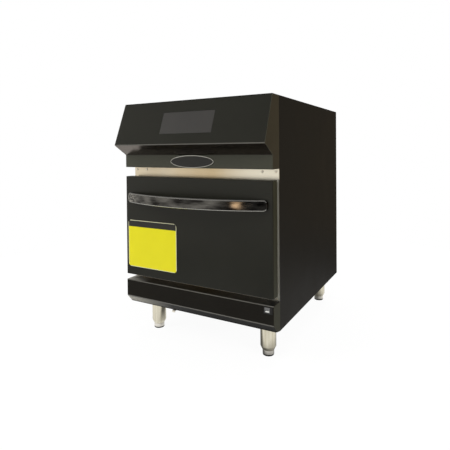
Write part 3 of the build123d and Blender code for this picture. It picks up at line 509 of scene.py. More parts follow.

# Touch screen: a satin glass plate that lies flush in the window. Its ground edge is rounded. The grey
# that the room's shine gives the etched surface over the dark display is painted into the glass colour as a
# painted reflection.
screen_corner = 0.0012
etch_grain = 0.0004  # a real etch is too fine to show, so this one is drawn coarser
etched_glass, glass_tree, glass_place = new_finish(
    "etched display glass", {"Roughness": 0.33, "IOR": 1.52, "Specular IOR Level": 0.4}
)
haze = add_node(glass_tree, "TexNoise", {"Scale": 14.0, "Detail": 2.0}, {"Vector": glass_place})
etch = add_node(glass_tree, "TexNoise", {"Scale": 1 / etch_grain, "Detail": 1.0}, {"Vector": glass_place})
lay_pattern(glass_tree, (haze, "#333230", "#3A3835"), (etch, 0.08, 0.0001))
screen = slope_block(
    "touch_screen_plate", screen_middle - slope_face * sheet_thick / 2, (*screen_size, sheet_thick)
)
round_edges(screen, screen_corner, 4, lambda middle, along: abs(along.dot(slope_face)) > straight)
break_edges(screen, 0.0004)
hand_over(screen, "cabinet", "screen_glass", etched_glass, "touch_screen_glass")

# Badge: a blank oval plate of black enamelled brass on the band, with a raised rim that is polished
# through to the nickel plate.
badge_low, badge_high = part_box("badge_plate")
rim_inset = 0.0006
rim_width = 0.0010
rim_slope = 0.0004
rim_proud = 0.0005
bpy.ops.object.select_all(action="DESELECT")
bpy.ops.mesh.primitive_cylinder_add(
    vertices=96,
    radius=1,
    depth=badge_high.y - badge_low.y,
    location=(badge_low + badge_high) / 2,
    rotation=(math.radians(90), 0, 0),
)
badge = bpy.context.active_object
badge.name = "badge_oval"
bpy.ops.object.transform_apply(location=False, rotation=True, scale=False)
badge.scale = ((badge_high.x - badge_low.x) / 2, 1, (badge_high.z - badge_low.z) / 2)
settle(badge)
pick(badge, "FACE", lambda middle, normal: normal.y < -straight)
bpy.ops.mesh.inset(thickness=rim_inset, depth=0)
bpy.ops.mesh.inset(thickness=rim_width, depth=0)
bpy.ops.mesh.inset(thickness=rim_slope, depth=-rim_proud)
bpy.ops.object.mode_set(mode="OBJECT")
enamel, enamel_tree, enamel_place = new_finish("black enamel", {"Roughness": 0.3, "Specular IOR Level": 0.4})
flow = add_node(enamel_tree, "TexNoise", {"Scale": 60.0}, {"Vector": enamel_place})
lay_pattern(enamel_tree, (flow, "#151513", "#201F1C"), (flow, 0.1, 0.0002))


def brushed(name, light, dark, roughness, grain, depth=0.00004):
    """Brushed metal: streaks whose size along each axis is given in metres.

    The lines of a real brush are too fine to show, so these are drawn wider.
    """
    finish, tree, place = new_finish(name, {"Metallic": 1.0})
    drawn = add_node(tree, "Mapping", {"Scale": [1 / length for length in grain]}, {"Vector": place})
    streaks = add_node(tree, "TexNoise", {"Scale": 1.0, "Detail": 5.0, "Roughness": 0.65}, {"Vector": drawn})
    stains = add_node(tree, "TexNoise", {"Scale": 14.0, "Detail": 3.0}, {"Vector": place})
    gloss = (stains, roughness - 0.06, roughness + 0.1)
    lay_pattern(tree, (streaks, dark, light), (streaks, 0.35, depth), gloss)
    return finish


nickel = brushed("polished nickel", "#C6C6C0", "#A6A6A0", 0.16, (0.02, 0.02, 0.004))
hand_over(badge, "cabinet", "black_paint", enamel, "badge_plate")
rim_front = badge_low.y + rim_proud / 2
rim_back = badge_low.y + rim_proud * 0.9
paint_faces(badge, nickel, lambda middle, normal: middle.y < rim_front and normal.y < -0.5)
paint_faces(badge, enamel, lambda middle, normal: middle.y > rim_back and normal.y < -0.5)
break_edges(badge, 0.0002)

# Front frame: one brushed stainless plate behind the hood and the door. It shows as a strip over the
# door, yellowed by heat at its middle and lighter at its right end as a painted highlight, and as a thin
# line beside the door. Beside the door its margin is painted a paler, less metallic grey as a painted
# highlight, and its rim is painted near black as painted shade.
strip_steel = brushed("brushed stainless", "#F4ECDB", "#DED4BE", 0.3, (0.12, 0.0016, 0.0016), 0.00001)
strip_tree = strip_steel.node_tree
strip_place = add_node(strip_tree, "TexCoord").outputs["Object"]
bands = add_node(strip_tree, "Mapping", {"Scale": (13.0, 13.0, 2.0)}, {"Vector": strip_place})
patches = add_node(strip_tree, "TexNoise", {"Scale": 1.0, "Detail": 1.0}, {"Vector": bands})
strip_sides = add_node(strip_tree, "SeparateXYZ", links={0: strip_place})
off_centre = add_node(strip_tree, "Math", {"operation": "ABSOLUTE"}, {0: strip_sides.outputs["X"]})
door_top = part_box("door_outer_skin")[1].z
# Each share goes from one value to another as its source goes from a start to an end.
strip_shares = {}
for name, source, start, end, at_start, at_end in (
    ("patches", patches, 0.4, 0.7, 0.0, 0.3),
    ("over door", off_centre, 0.05, 0.2, 0.5, 0.0),
    ("beside door", strip_sides.outputs["Z"], door_top - 0.001, door_top + 0.001, 1.0, 0.0),
    ("outer part", off_centre, 0.2435, 0.2445, 0.0, 0.85),
    ("rim part", off_centre, 0.249, 0.2496, 0.0, 1.0),
    ("right end", strip_sides.outputs["X"], 0.08, 0.2, 0.0, 0.9),
):
    strip_shares[name] = add_node(
        strip_tree,
        "MapRange",
        {"From Min": start, "From Max": end, "To Min": at_start, "To Max": at_end},
        {"Value": source},
    )
for name, operation, first, second in (
    ("heat", "ADD", "patches", "over door"),
    ("margin", "MULTIPLY", "outer part", "beside door"),
    ("rim", "MULTIPLY", "rim part", "beside door"),
    ("bright end", "SUBTRACT", "right end", "margin"),
):
    strip_shares[name] = add_node(
        strip_tree, "Math", {"operation": operation}, {0: strip_shares[first], 1: strip_shares[second]}
    )


def lay_over(finish, share, colour):
    """Lay a further colour over a finish where its share is high."""
    shader = finish.node_tree.nodes["Principled BSDF"]
    tint = add_node(
        finish.node_tree,
        "Mix",
        {"data_type": "RGBA", 7: linear(colour)},
        {0: share, 6: shader.inputs["Base Color"].links[0].from_socket},
    )
    wire(shader, {"Base Color": tint.outputs[2]})


lay_over(strip_steel, strip_shares["heat"], "#DCC393")
# Painted light: the margin's pale grey and lower metal share light the shadowed edge beside the door, the
# right end's near-white is a painted highlight, and the rim's near black is painted shade.
lay_over(strip_steel, strip_shares["margin"], "#A4A49A")
lay_over(strip_steel, strip_shares["bright end"], "#FFFCEC")
lay_over(strip_steel, strip_shares["rim"], "#26251F")
bare_metal = add_node(strip_tree, "Math", {"operation": "SUBTRACT", 0: 1.0}, {1: strip_shares["margin"]})
wire(strip_tree.nodes["Principled BSDF"], {"Metallic": bare_metal})
nodes["front_frame"].material_slots[0].material = strip_steel


# Panel screws: pan-head screws with a cross recess, bright zinc plated. One is turned, and the others
# are its copies, four on the frame's strip and nine on the rear panel.
def turned(name, outline, sides=48):
    """Turn a round piece about Z from its outline of radii and heights: extrude a disc and scale it."""
    bpy.ops.object.select_all(action="DESELECT")
    radius, height = outline[0]
    bpy.ops.mesh.primitive_circle_add(
        vertices=sides, radius=radius, fill_type="NGON", location=(0, 0, height)
    )
    piece = bpy.context.active_object
    piece.name = name
    bpy.ops.object.mode_set(mode="EDIT")
    bpy.ops.mesh.select_all(action="SELECT")
    for next_radius, next_height in outline[1:]:
        bpy.ops.mesh.extrude_region_move(TRANSFORM_OT_translate={"value": (0, 0, next_height - height)})
        share = next_radius / radius
        bpy.ops.transform.resize(value=(share, share, 1))
        radius, height = next_radius, next_height
    bpy.ops.mesh.select_all(action="SELECT")
    bpy.ops.mesh.normals_make_consistent(inside=False)
    settle(piece)
    return piece


def copy_to(piece, place, turn=(0, 0, 0)):
    """A copy of a piece with its own mesh, turned and moved to a place."""
    twin = piece.copy()
    twin.data = piece.data.copy()
    scene.collection.objects.link(twin)
    twin.rotation_euler = [math.radians(angle) for angle in turn]
    twin.location = place
    settle(twin)
    return twin


def join(name, parts):
    """Join parts into one piece."""
    start_on(parts[0])
    for part in parts:
        part.select_set(True)
    bpy.ops.object.join()
    parts[0].name = name
    return parts[0]


head_outline = [(0.0020, -0.006), (0.0020, 0.0), (0.0034, 0.0), (0.0035, 0.0004)]
head_outline += [(0.0034, 0.0010), (0.0031, 0.0013), (0.0027, 0.0014), (0.0006, 0.0015)]
recess_reach = 0.0014
recess_half = 0.00028
recess_floor = 0.0011
recess_top = 0.002
strip_screws = (-0.241, -0.201, 0.201, 0.241)
strip_row = 0.5205
rear_screws = (-0.232, 0.0, 0.232)
rear_rows = (0.130, 0.420, 0.700)
screw = turned("screw", head_outline, 28)
for x, y in ((recess_reach, recess_half), (recess_half, recess_reach)):
    cut_out(screw, block("recess", (-x, -y, recess_floor), (x, y, recess_top)))
frame_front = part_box("front_frame")[0].y
rear_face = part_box("rear_panel")[1].y
screws = [copy_to(screw, (x, frame_front, strip_row), (90, 0, 0)) for x in strip_screws]
screws += [copy_to(screw, (x, rear_face, z), (-90, 0, 0)) for x in rear_screws for z in rear_rows]
bpy.data.objects.remove(screw)
screw_heads = join("panel_screw_heads", screws)
shade_smooth(screw_heads)
bright_zinc = brushed("bright zinc", "#FAF4E6", "#E6DFCF", 0.3, (0.002, 0.002, 0.002), 0.00001)
hand_over(screw_heads, "cabinet", "stainless", bright_zinc, "panel_screws")

# Plinth: a coated sheet under the door, folded to a sloped lower lip, with a pale painted highlight along
# its folds. The lip and the flat top of the upper fold turn pale towards the left end as a painted
# reflection of the lit floor, and elsewhere the lip coat is a darker black than the cabinet's. Its cheeks
# run down to the side panels and have a lighter coat as painted light, and a square hole holds the service
# port.
plinth_low, plinth_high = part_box("plinth_panel")
plinth_fold = 0.1225
lip_reach = 0.020
lip_bottom = 0.100
lip_edge = front + lip_reach
overrun = 0.01
plinth = block("plinth_sheet", (plinth_low.x, front, plinth_low.z), plinth_high)
slice_off(plinth, (0, front, plinth_fold), (0, lip_bottom - plinth_fold, -lip_reach))
slice_off(plinth, (0, lip_edge, lip_bottom), (0, plinth_low.z - lip_bottom, lip_edge - plinth_high.y))
pick(plinth, "FACE", lambda middle, normal: normal.y > straight or normal.z < -0.9)
bpy.ops.mesh.delete(type="FACE")
round_edges(
    plinth, fold, 4, lambda middle, along: abs(along.x) > straight and abs(middle.z - plinth_fold) < fold / 4
)
round_edges(
    plinth,
    fold,
    4,
    lambda middle, along: abs(along.x) > straight
    and middle.z > plinth_high.z - weld
    and middle.y < front + weld,
)
round_edges(
    plinth,
    weld,
    2,
    lambda middle, along: abs(along.x) < 0.5
    and abs(middle.x) > plinth_high.x - weld
    and (middle.y < front + lip_reach * 0.9 or middle.z > plinth_high.z - weld)
    and middle.y < plinth_high.y - weld / 2,
)
modify(plinth, "SOLIDIFY", thickness=sheet_thick, offset=-1, use_even_offset=True)
inner_side = plinth_high.x - sheet_thick
lip_return = block(
    "lip_return",
    (-inner_side, lip_edge - sheet_thick, lip_bottom),
    (inner_side, plinth_high.y, lip_bottom + sheet_thick),
)
plinth = join("plinth_sheet", [plinth, lip_return])
port_low, port_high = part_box("service_port")
port_hole = block(
    "port_hole",
    port_low - Vector((screen_gap, overrun, screen_gap)),
    port_high + Vector((screen_gap, 0, screen_gap)),
)
cut_out(plinth, port_hole)
break_edges(plinth, 0.0003)
hand_over(plinth, "cabinet", "black_paint", cabinet_coat, "plinth_panel")
lip_coat = powder_coat("black powder coat, lip", "#191815", "#12110F", 0.4, 0.08)
lip_tree = lip_coat.node_tree
lip_place = add_node(lip_tree, "TexCoord").outputs["Object"]
lip_sides = add_node(lip_tree, "SeparateXYZ", links={0: lip_place})
# Painted reflection: the lip coat turns pale from the left end to a place that lies further right lower down.
pale_reflection_end = add_node(
    lip_tree,
    "MapRange",
    {"From Min": 0.12, "From Max": 0.15, "To Min": -0.08, "To Max": -0.175},
    {"Value": lip_sides.outputs["Z"]},
)
painted_reflection_share = add_node(
    lip_tree,
    "MapRange",
    {"From Min": -0.25, "To Min": 1.0, "To Max": 0.0},
    {"Value": lip_sides.outputs["X"], "From Max": pale_reflection_end},
)
lay_over(lip_coat, painted_reflection_share, "#A7A49A")
# Painted light: a lighter, warmer coat for the side faces of the plinth and the door, as light falls on them
# from the right rear.
lit_cheek_coat = powder_coat("black powder coat, cheek with painted light", "#363528", "#2D2C20", 0.5, 0.05)
paint_faces(
    plinth,
    lip_coat,
    lambda middle, normal: (normal.y < -0.5 and -0.8 < normal.z < -0.5)
    or (normal.z > 0.9 and middle.z > plinth_high.z - weld),
)
paint_faces(plinth, lit_cheek_coat, lambda middle, normal: abs(normal.x) > 0.9)
# Painted highlight: the pale coat along the plinth's folds.
paint_faces(
    plinth,
    painted_edge_highlight_coat,
    lambda middle, normal: normal.y < -0.1
    and 0.1 < abs(normal.z)
    and abs(normal.x) < 0.5
    and middle.y < front + fold
    and (middle.z > plinth_high.z - fold or abs(middle.z - plinth_fold) < fold),
)

# Service port: a plated shell with a plug slot in its lower half and a tongue in the slot, painted white as
# light falling on the slot's floor, behind a square bezel that is moulded in black nylon.
bezel_low, bezel_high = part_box("port_bezel")
bezel = block("port_bezel_frame", bezel_low, bezel_high)
cut_out(bezel, block("bezel_hole", port_low - Vector((0, overrun, 0)), port_high))
break_edges(bezel, 0.0004)


def moulded(name, light, dark, roughness, grain):
    """Moulded plastic or rubber: a faint mottle, and the mould's spark texture, drawn coarse to show."""
    finish, tree, place = new_finish(name, {"Specular IOR Level": 0.4})
    mottle_width = 0.025
    spark = add_node(tree, "TexNoise", {"Scale": 1 / grain, "Detail": 2.0}, {"Vector": place})
    mottle = add_node(tree, "TexNoise", {"Scale": 1 / mottle_width, "Detail": 3.0}, {"Vector": place})
    gloss = (spark, roughness - 0.08, roughness + 0.08)
    lay_pattern(tree, (mottle, dark, light), (spark, 0.3, 0.00008), gloss)
    return finish


black_nylon = moulded("black nylon", "#1C1B1A", "#131212", 0.5, 0.0007)
hand_over(bezel, "cabinet", "black_plastic", black_nylon, "port_bezel")
port_wall = 0.0012
slot_height = 0.006
tongue_gap = 0.0008
tongue_thick = 0.0038
port_shell = block("service_port_shell", port_low, port_high)
slot_low = port_low + Vector((port_wall, -overrun / 2, port_wall))
slot_high = Vector((port_high.x - port_wall, port_high.y - port_wall, slot_low.z + slot_height))
cut_out(port_shell, block("plug_slot", slot_low, slot_high))
break_edges(port_shell, 0.0002)
port_steel = brushed("plated port shell", "#9FA0A0", "#858687", 0.42, (0.003, 0.003, 0.003), 0.00001)
hand_over(port_shell, "cabinet", "galvanised_steel", port_steel, "service_port")
tongue = block(
    "port_tongue",
    (slot_low.x + tongue_gap, port_low.y + port_wall / 2, slot_low.z),
    (slot_high.x - tongue_gap, slot_high.y, slot_low.z + tongue_thick),
)
break_edges(tongue, 0.0006)
# Painted light: the tongue's white stands for light falling on the slot's floor.
hand_over(tongue, "cabinet", "black_plastic", moulded("tongue nylon, painted light", "#F4F3EF", "#E4E3DE", 0.4, 0.0006))

# Door skin: a shallow tray pressed from coated sheet, with rounded edges and a turned-in rim at the
# rear. Two notches in its lower edge clear the hinge arms. Its lower edge has a pale painted highlight,
# and its sides have a lighter coat as painted light.
skin_low, skin_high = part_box("door_outer_skin")
rim_turn = 0.014
arm_place = 0.226
notch_half = 0.004
notch_depth = 0.0075
notch_height = 0.0165
skin = block("door_skin_sheet", skin_low, skin_high)
pick(skin, "FACE", lambda middle, normal: normal.y > straight)
bpy.ops.mesh.inset(thickness=rim_turn, depth=0)
bpy.ops.mesh.delete(type="FACE")
round_edges(
    skin,
    fold,
    4,
    lambda middle, along: middle.y < skin_low.y + fold
    or (abs(along.y) > straight and abs(middle.x) > skin_high.x - fold),
)
modify(skin, "SOLIDIFY", thickness=sheet_thick, offset=-1, use_even_offset=True)
for arm_x in (-arm_place, arm_place):
    notch_low = (arm_x - notch_half, front + notch_depth, skin_low.z - overrun)
    notch_high = (arm_x + notch_half, skin_high.y + overrun, skin_low.z + notch_height)
    cut_out(skin, block("notch", notch_low, notch_high))
break_edges(skin, 0.0003)
hand_over(skin, "door", "black_paint", front_coat, "door_outer_skin")
# The door's sides get the lighter cheek coat as painted light.
paint_faces(skin, lit_cheek_coat, lambda middle, normal: abs(normal.x) > 0.9)
# The lower edge gets the pale coat as a painted highlight.
paint_faces(
    skin,
    painted_edge_highlight_coat,
    lambda middle, normal: middle.z < skin_low.z + fold and -0.9 < normal.y < -0.3 and normal.z < -0.3,
)

# Bow handle: a flat bar of 30 by 12 mm, bent to a wide bow, with rounded edges and blunt ends screwed to
# the door. It is plated in black chrome, which mirrors the room darkly. Its colour is mottled by wipe
# marks and by painted reflections, its upper edge is painted a lighter grey and its lower edge a bright
# grey as painted highlights, and its left end is darker with pale spots as painted glints.
handle_low, handle_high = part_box("door_handle")
handle_half = handle_high.x
handle_reach = front - handle_low.y
handle_end = 0.008
handle_power = 2.2
handle_steps = 56
handle_thick = 0.012
handle_corner = 0.011
handle_round = 0.0045
near = 0.0001  # how near a place counts as on a plane
bar_low = (-handle_half, front, handle_low.z)
handle = block("bow_handle", bar_low, (handle_half, front + handle_thick, handle_high.z))
round_edges(handle, handle_corner, 6, lambda middle, along: abs(along.y) > straight)
round_edges(handle, handle_round, 5, lambda middle, along: middle.y < front + near)
bpy.ops.object.mode_set(mode="EDIT")
for step in range(1, handle_steps):
    bpy.ops.mesh.select_all(action="SELECT")
    bpy.ops.mesh.bisect(plane_co=((2 * step / handle_steps - 1) * handle_half, 0, 0), plane_no=(1, 0, 0))
bpy.ops.object.mode_set(mode="OBJECT")
for column in sorted({round(vertex.co.x, 5) for vertex in handle.data.vertices}):
    bow = 1 - min(abs(column) / handle_half, 1) ** handle_power
    pick(handle, "VERT", lambda place, normal: round(place.x, 5) == column)
    bpy.ops.transform.translate(value=(0, -handle_end - (handle_reach - handle_end) * bow, 0))
slice_off(handle, (0, front, 0), (0, 1, 0))
break_edges(handle, 0.001, 3)
black_chrome, chrome_tree, chrome_place = new_finish("black chrome plate", {"Metallic": 1.0})
drawn_out = add_node(chrome_tree, "Mapping", {"Scale": (17.0, 60.0, 80.0)}, {"Vector": chrome_place})
wipes_and_reflections = add_node(chrome_tree, "TexNoise", {"Scale": 1.0, "Detail": 4.0}, {"Vector": drawn_out})
marks = add_node(chrome_tree, "TexNoise", {"Scale": 170.0, "Detail": 2.0}, {"Vector": chrome_place})
chrome_sides = add_node(chrome_tree, "SeparateXYZ", links={0: chrome_place})
chrome_shares = {}
# The mottle of the wipes is partly wipe marks and partly painted reflection; the left end's dark tint and
# pale spots are painted glints.
for name, source, start, end, at_start, at_end in (
    ("wiped", wipes_and_reflections, 0.36, 0.64, 0.0, 1.0),
    ("scratched", marks, 0.5, 0.58, 0.0, 1.0),
    ("left end", chrome_sides.outputs["X"], -0.205, -0.178, 0.9, 0.0),
):
    chrome_shares[name] = add_node(
        chrome_tree,
        "MapRange",
        {"From Min": start, "From Max": end, "To Min": at_start, "To Max": at_end},
        {"Value": source},
    )
painted_glints_at_left_end = add_node(
    chrome_tree,
    "Math",
    {"operation": "MULTIPLY"},
    {0: chrome_shares["scratched"], 1: chrome_shares["left end"]},
)
lay_pattern(chrome_tree, (chrome_shares["wiped"], "#242322", "#686764"), gloss=(wipes_and_reflections, 0.07, 0.17))
lay_over(black_chrome, chrome_shares["left end"], "#201F1E")
lay_over(black_chrome, painted_glints_at_left_end, "#9C9A93")
# Painted highlights: lighter chromes for the upper and lower edges, which stand for the light these edges
# catch.
lower_edge_highlight_chrome = brushed("chrome, painted lower edge highlight", "#C3C1BA", "#A2A09A", 0.2, (0.02, 0.004, 0.004), 0.00001)
upper_edge_highlight_chrome = brushed("chrome, painted upper edge highlight", "#8E8C87", "#73716D", 0.34, (0.02, 0.004, 0.004), 0.00001)
set_shader(upper_edge_highlight_chrome, {"Metallic": 0.45})
hand_over(handle, "door", "black_chrome", black_chrome, "door_handle")
paint_faces(handle, lower_edge_highlight_chrome, lambda middle, normal: normal.y < -0.15 and normal.z < -0.35)
paint_faces(handle, upper_edge_highlight_chrome, lambda middle, normal: normal.y < -0.15 and normal.z > 0.35)

# Card: a blank label of yellow film on the lower left of the door, with a thin pale border and a dark
# field along its top. Its corners are rounded.
card_low, card_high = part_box("door_card")
card_corner = 0.010
card_border = 0.0014
card_head = 0.0185
head_line = card_high.z - card_border - card_head
card = block("door_card_film", card_low, card_high)
round_edges(card, card_corner, 8, lambda middle, along: abs(along.y) > straight)
pick(card, "FACE", lambda middle, normal: normal.y < -straight)
bpy.ops.mesh.inset(thickness=card_border, depth=0)
bpy.ops.mesh.bisect(plane_co=(0, 0, head_line), plane_no=(0, 0, 1))
bpy.ops.object.mode_set(mode="OBJECT")


def printed(name, colour, faded):
    """Printed film: even ink with a faint fade and the film's satin gloss."""
    finish, tree, place = new_finish(name, {"Roughness": 0.4, "Specular IOR Level": 0.35})
    fade_width = 0.04
    fade = add_node(tree, "TexNoise", {"Scale": 1 / fade_width, "Detail": 3.0}, {"Vector": place})
    lay_pattern(tree, (fade, colour, faded), (fade, 0.05, 0.0002))
    return finish


hand_over(card, "door", "card_yellow", printed("pale film", "#EDEBC4", "#E3E1B8"), "door_card")
dark_film = printed("dark film", "#23221F", "#2B2A26")
yellow_film = printed("yellow film", "#EEE414", "#E6DC10")
card_middle = (card_low + card_high) / 2
inner_half = (card_high - card_low) / 2 - Vector((card_border, 0, card_border))


def inside_border(middle, normal):
    """Whether a face is on the front of the card and within its border."""
    off = middle - card_middle
    return normal.y < -0.9 and abs(off.x) < inner_half.x and abs(off.z) < inner_half.z


paint_faces(card, dark_film, lambda middle, normal: inside_border(middle, normal) and middle.z > head_line)
paint_faces(card, yellow_film, lambda middle, normal: inside_border(middle, normal) and middle.z < head_line)

# Legs: polished stainless tubes, tapered at the bottom, each with a foot that screws out of it. The foot
# is turned steel on a black rubber pad.
tube_outline = [(0.0172, 0.0163), (0.018, 0.0171), (0.0221, 0.0254), (0.0225, 0.0264)]
tube_outline += [(0.0225, 0.0985), (0.0219, 0.0994)]
foot_outline = [(0.0150, 0.0), (0.0158, 0.0006), (0.0162, 0.0015), (0.0162, 0.0034), (0.0156, 0.0037)]
foot_outline += [(0.0156, 0.0042), (0.0165, 0.0046), (0.0165, 0.0150), (0.0158, 0.0159), (0.0080, 0.0160)]
foot_outline += [(0.0080, 0.0700)]
pad_height = 0.0040
tube = turned("tube", tube_outline, 64)
foot = turned("foot", foot_outline, 64)
for piece in (tube, foot):
    start_on(piece)
    bpy.ops.object.shade_smooth_by_angle(angle=math.radians(30))
# The tube's light and dark lengthwise streaks are partly draw lines in the steel and partly painted
# reflection of the room.
tube_steel = brushed("polished stainless tube", "#FFFBEA", "#B0A588", 0.16, (0.006, 0.006, 0.4))
foot_steel = brushed("turned stainless", "#FFFBF2", "#D5D0C4", 0.22, (0.02, 0.02, 0.0012))
foot_pad = moulded("black rubber pad", "#171615", "#0F0E0E", 0.7, 0.0009)
tubes = []
for corner in ("front_left", "front_right", "rear_left", "rear_right"):
    foot_low, foot_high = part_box(corner + "_foot")
    middle = (foot_low + foot_high) / 2
    tubes.append(copy_to(tube, (middle.x, middle.y, 0)))
    foot_copy = copy_to(foot, (middle.x, middle.y, 0))
    foot_copy.name = corner + "_foot_turned"
    hand_over(foot_copy, corner + "_foot", "stainless", foot_steel, corner + "_foot")
    paint_faces(foot_copy, foot_pad, lambda place, normal: place.z < pad_height)
bpy.data.objects.remove(tube)
bpy.data.objects.remove(foot)
leg_tubes = join("leg_tube_set", tubes)
hand_over(leg_tubes, "cabinet", "stainless", tube_steel, "leg_tubes")

# Mains inlet: a nylon cable gland on the rear panel, with a hexagon flange, a round cap and a rubber
# ring round its bore.
gland_low, gland_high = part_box("cable_gland")
gland_middle = (gland_low + gland_high) / 2
gland_bore = 0.0075
ring_radius = 0.0072
ring_thick = 0.0014
ring_proud = 0.0108
base_outline = [(0.0135, 0), (0.014, 0.0005), (0.014, 0.004), (0.0133, 0.0045)]
cap_outline = [(0.0118, 0.0), (0.0122, 0.0045), (0.0122, 0.009), (0.0112, 0.0113), (0.0095, 0.012)]
shank_outline = [(0.010, -0.0115), (0.010, 0.0)]
gland_base = turned("gland_base", base_outline, 6)
gland_cap = turned("gland_cap", cap_outline, 36)
gland_shank = turned("gland_shank", shank_outline, 36)
gland = join("cable_gland_body", [gland_base, gland_cap, gland_shank])
gland.rotation_euler = (math.radians(-90), 0, 0)
gland.location = (gland_middle.x, rear_face, gland_middle.z)
settle(gland)
bpy.ops.mesh.primitive_cylinder_add(
    vertices=36,
    radius=gland_bore,
    depth=6 * overrun,
    location=(gland_middle.x, rear_face, gland_middle.z),
    rotation=(math.radians(90), 0, 0),
)
cut_out(gland, bpy.context.active_object)
break_edges(gland, 0.0003)
hand_over(gland, "cabinet", "black_plastic", black_nylon, "cable_gland")
bpy.ops.object.select_all(action="DESELECT")
bpy.ops.mesh.primitive_torus_add(
    major_radius=ring_radius,
    minor_radius=ring_thick / 2,
    major_segments=40,
    minor_segments=10,
    location=(gland_middle.x, rear_face + ring_proud, gland_middle.z),
    rotation=(math.radians(90), 0, 0),
)
gland_ring = bpy.context.active_object
gland_ring.name = "cable_gland_ring"
settle(gland_ring)
bpy.ops.object.shade_smooth()
ring_rubber = moulded("black seal rubber", "#232221", "#181716", 0.75, 0.0009)
hand_over(gland_ring, "cabinet", "silicone", ring_rubber)

# Door seal: a ring of extruded silicone on the inner pan, with a rounded bulb that closes on the frame
# round the cavity opening.
seal_low, seal_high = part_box("door_seal")
seal_width = 0.012
seal_corner = 0.010
seal_bulb = 0.0016
seal = block("door_seal_bulb", seal_low, seal_high)
seal_ring = Vector((seal_width, -overrun, seal_width))
cut_out(seal, block("seal_hole", seal_low + seal_ring, seal_high - seal_ring))
round_edges(
    seal, seal_corner, 6, lambda middle, along: abs(along.y) > straight and abs(middle.x) > seal_high.x - near
)
break_edges(seal, seal_bulb, 4)
grey_silicone = moulded("grey silicone", "#34332F", "#262522", 0.6, 0.001)
hand_over(seal, "door", "silicone", grey_silicone, "door_seal")


# Soft packing: ceramic-wool blankets round the cavity, behind the plenum and in the door, and the foam
# pad of the intake filter. Each is the CAD solid with its edges slumped and its faces uneven.
def fibrous(name, light, dark, grain):
    """Felted or foamed stuff: clumps, and fibres or cells that are drawn coarse to show."""
    finish, tree, place = new_finish(name, {"Roughness": 0.95, "Specular IOR Level": 0.15})
    clumps = add_node(
        tree, "TexNoise", {"Scale": 1 / grain, "Detail": 6.0, "Roughness": 0.7}, {"Vector": place}
    )
    cells = add_node(tree, "TexVoronoi", {"Scale": 3 / grain}, {"Vector": place})
    rough = add_node(tree, "Math", {"operation": "ADD"}, {0: clumps, 1: cells})
    lay_pattern(tree, (clumps, dark, light), (rough, 0.6, 0.0008))
    return finish


wool = fibrous("ceramic wool", "#E9E6DC", "#C9C5B8", 0.006)
foam = fibrous("open-cell foam", "#3A3A38", "#1F1F1E", 0.003)
unevenness = bpy.data.textures.new("unevenness", "CLOUDS")
unevenness.noise_scale = 0.05
for node_name, body, voxel, depth, slot_name, finish in (
    ("cavity_insulation", "cabinet", 0.006, 0.0012, "ceramic_wool", wool),
    ("rear_insulation", "cabinet", 0.004, 0.0010, "ceramic_wool", wool),
    ("door_insulation", "door", 0.005, 0.0010, "ceramic_wool", wool),
    ("filter_pad", "intake_filter", 0.0022, 0.0003, "filter_foam", foam),
):
    blanket = nodes[node_name].copy()
    blanket.data = nodes[node_name].data.copy()
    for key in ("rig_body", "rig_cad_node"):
        del blanket[key]
    blanket.parent = None
    scene.collection.objects.link(blanket)
    blanket.name = node_name + "_soft"
    blanket.data.materials.clear()
    start_on(blanket)
    bpy.ops.object.mode_set(mode="EDIT")
    bpy.ops.mesh.select_all(action="SELECT")
    bpy.ops.mesh.remove_doubles(threshold=0.00001)
    modify(blanket, "REMESH", mode="VOXEL", voxel_size=voxel)
    modify(blanket, "SMOOTH", factor=0.6, iterations=3)
    modify(blanket, "DISPLACE", texture=unevenness, strength=depth, mid_level=1.0, texture_coords="LOCAL")
    bpy.ops.object.shade_smooth()
    hand_over(blanket, body, slot_name, finish, node_name)

# Everything else keeps its CAD shape and gets the finish of the real part: stainless in the cavity,
# galvanised sheet round it, and the metals, plastics, mica and boards of the parts inside.
cavity_steel = brushed("cavity stainless", "#C9C6BE", "#A5A29A", 0.3, (0.0016, 0.08, 0.0016))
wire_steel = brushed("drawn stainless wire", "#D5D2CA", "#B2AFA6", 0.22, (0.002, 0.05, 0.002))
heater_sheath = brushed("oxidised heater sheath", "#6B6156", "#4A423B", 0.5, (0.004, 0.004, 0.004))
mill_aluminium = brushed("mill-finish aluminium", "#D9DADB", "#B4B5B7", 0.34, (0.003, 0.003, 0.07))
drawn_aluminium = brushed("drawn aluminium can", "#DADADA", "#BFC0C1", 0.26, (0.003, 0.003, 0.04))
plated_steel = brushed("plated steel", "#C4C2BE", "#A3A19C", 0.3, (0.006, 0.004, 0.004))
lamination = brushed("varnished laminations", "#4A443D", "#2B2723", 0.55, (0.05, 0.0007, 0.05), 0.0002)
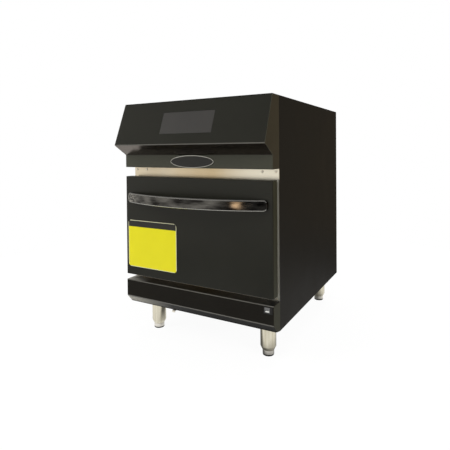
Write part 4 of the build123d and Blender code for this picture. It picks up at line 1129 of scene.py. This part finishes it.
motor_coat = moulded("motor enamel", "#5A5B5E", "#494A4D", 0.42, 0.0012)
split_mica = moulded("split mica", "#C4B799", "#A4977A", 0.45, 0.004)
catalyst_coat = moulded("catalyst wash coat", "#8C7A66", "#6A5B4B", 0.8, 0.0015)

# Galvanised sheet has zinc spangles about 9 mm across, each a slightly different grey and gloss.
spangle_width = 0.009
zinc_sheet, zinc_tree, zinc_place = new_finish("galvanised sheet", {"Metallic": 1.0})
spangle = add_node(zinc_tree, "TexVoronoi", {"Scale": 1 / spangle_width}, {"Vector": zinc_place})
shade = add_node(zinc_tree, "SeparateColor", links={0: spangle.outputs["Color"]})
lay_pattern(zinc_tree, (shade, "#8E9194", "#B9BCBE"), (spangle, 0.15, 0.0001), (shade.outputs[1], 0.28, 0.48))

# A circuit board is green lacquer over its tracks and the gaps between them, drawn coarser than real ones.
board_finish, board_tree, board_place = new_finish("lacquered circuit board", {"Roughness": 0.35})
board_colours = {"Color1": linear("#1F5A34"), "Color2": linear("#276B3F"), "Mortar": linear("#123D22")}
tracks = add_node(
    board_tree, "TexBrick", {**board_colours, "Scale": 60.0, "Mortar Size": 0.03}, {"Vector": board_place}
)
wire(board_tree.nodes["Principled BSDF"], {"Base Color": tracks})

for finish, names in (
    (cavity_steel, "cavity_liner upper_jet_plate lower_jet_plate door_inner_pan door_latch_hooks"),
    (wire_steel, "wire_rack temperature_probe handle_screws"),
    (heater_sheath, "heater_loop"),
    (zinc_sheet, "base_pan hinge_arms hinge_channels door_choke_frame plenum motor_mount"),
    (zinc_sheet, "electronics_shelf filter_rails mains_filter blower_wheel"),
    (bright_zinc, "filter_tray"),
    (plated_steel, "magnetrons"),
    (mill_aluminium, "waveguides"),
    (lamination, "transformers"),
    (drawn_aluminium, "capacitors"),
    (motor_coat, "blower_motor"),
    (black_nylon, "cooling_fan_frame cooling_fan_rotor interlock_switches terminal_block display_module"),
    (board_finish, "control_board power_board"),
    (split_mica, "wave_port_covers"),
    (catalyst_coat, "catalyst_disc"),
):
    for name in names.split():
        nodes[name].material_slots[0].material = finish
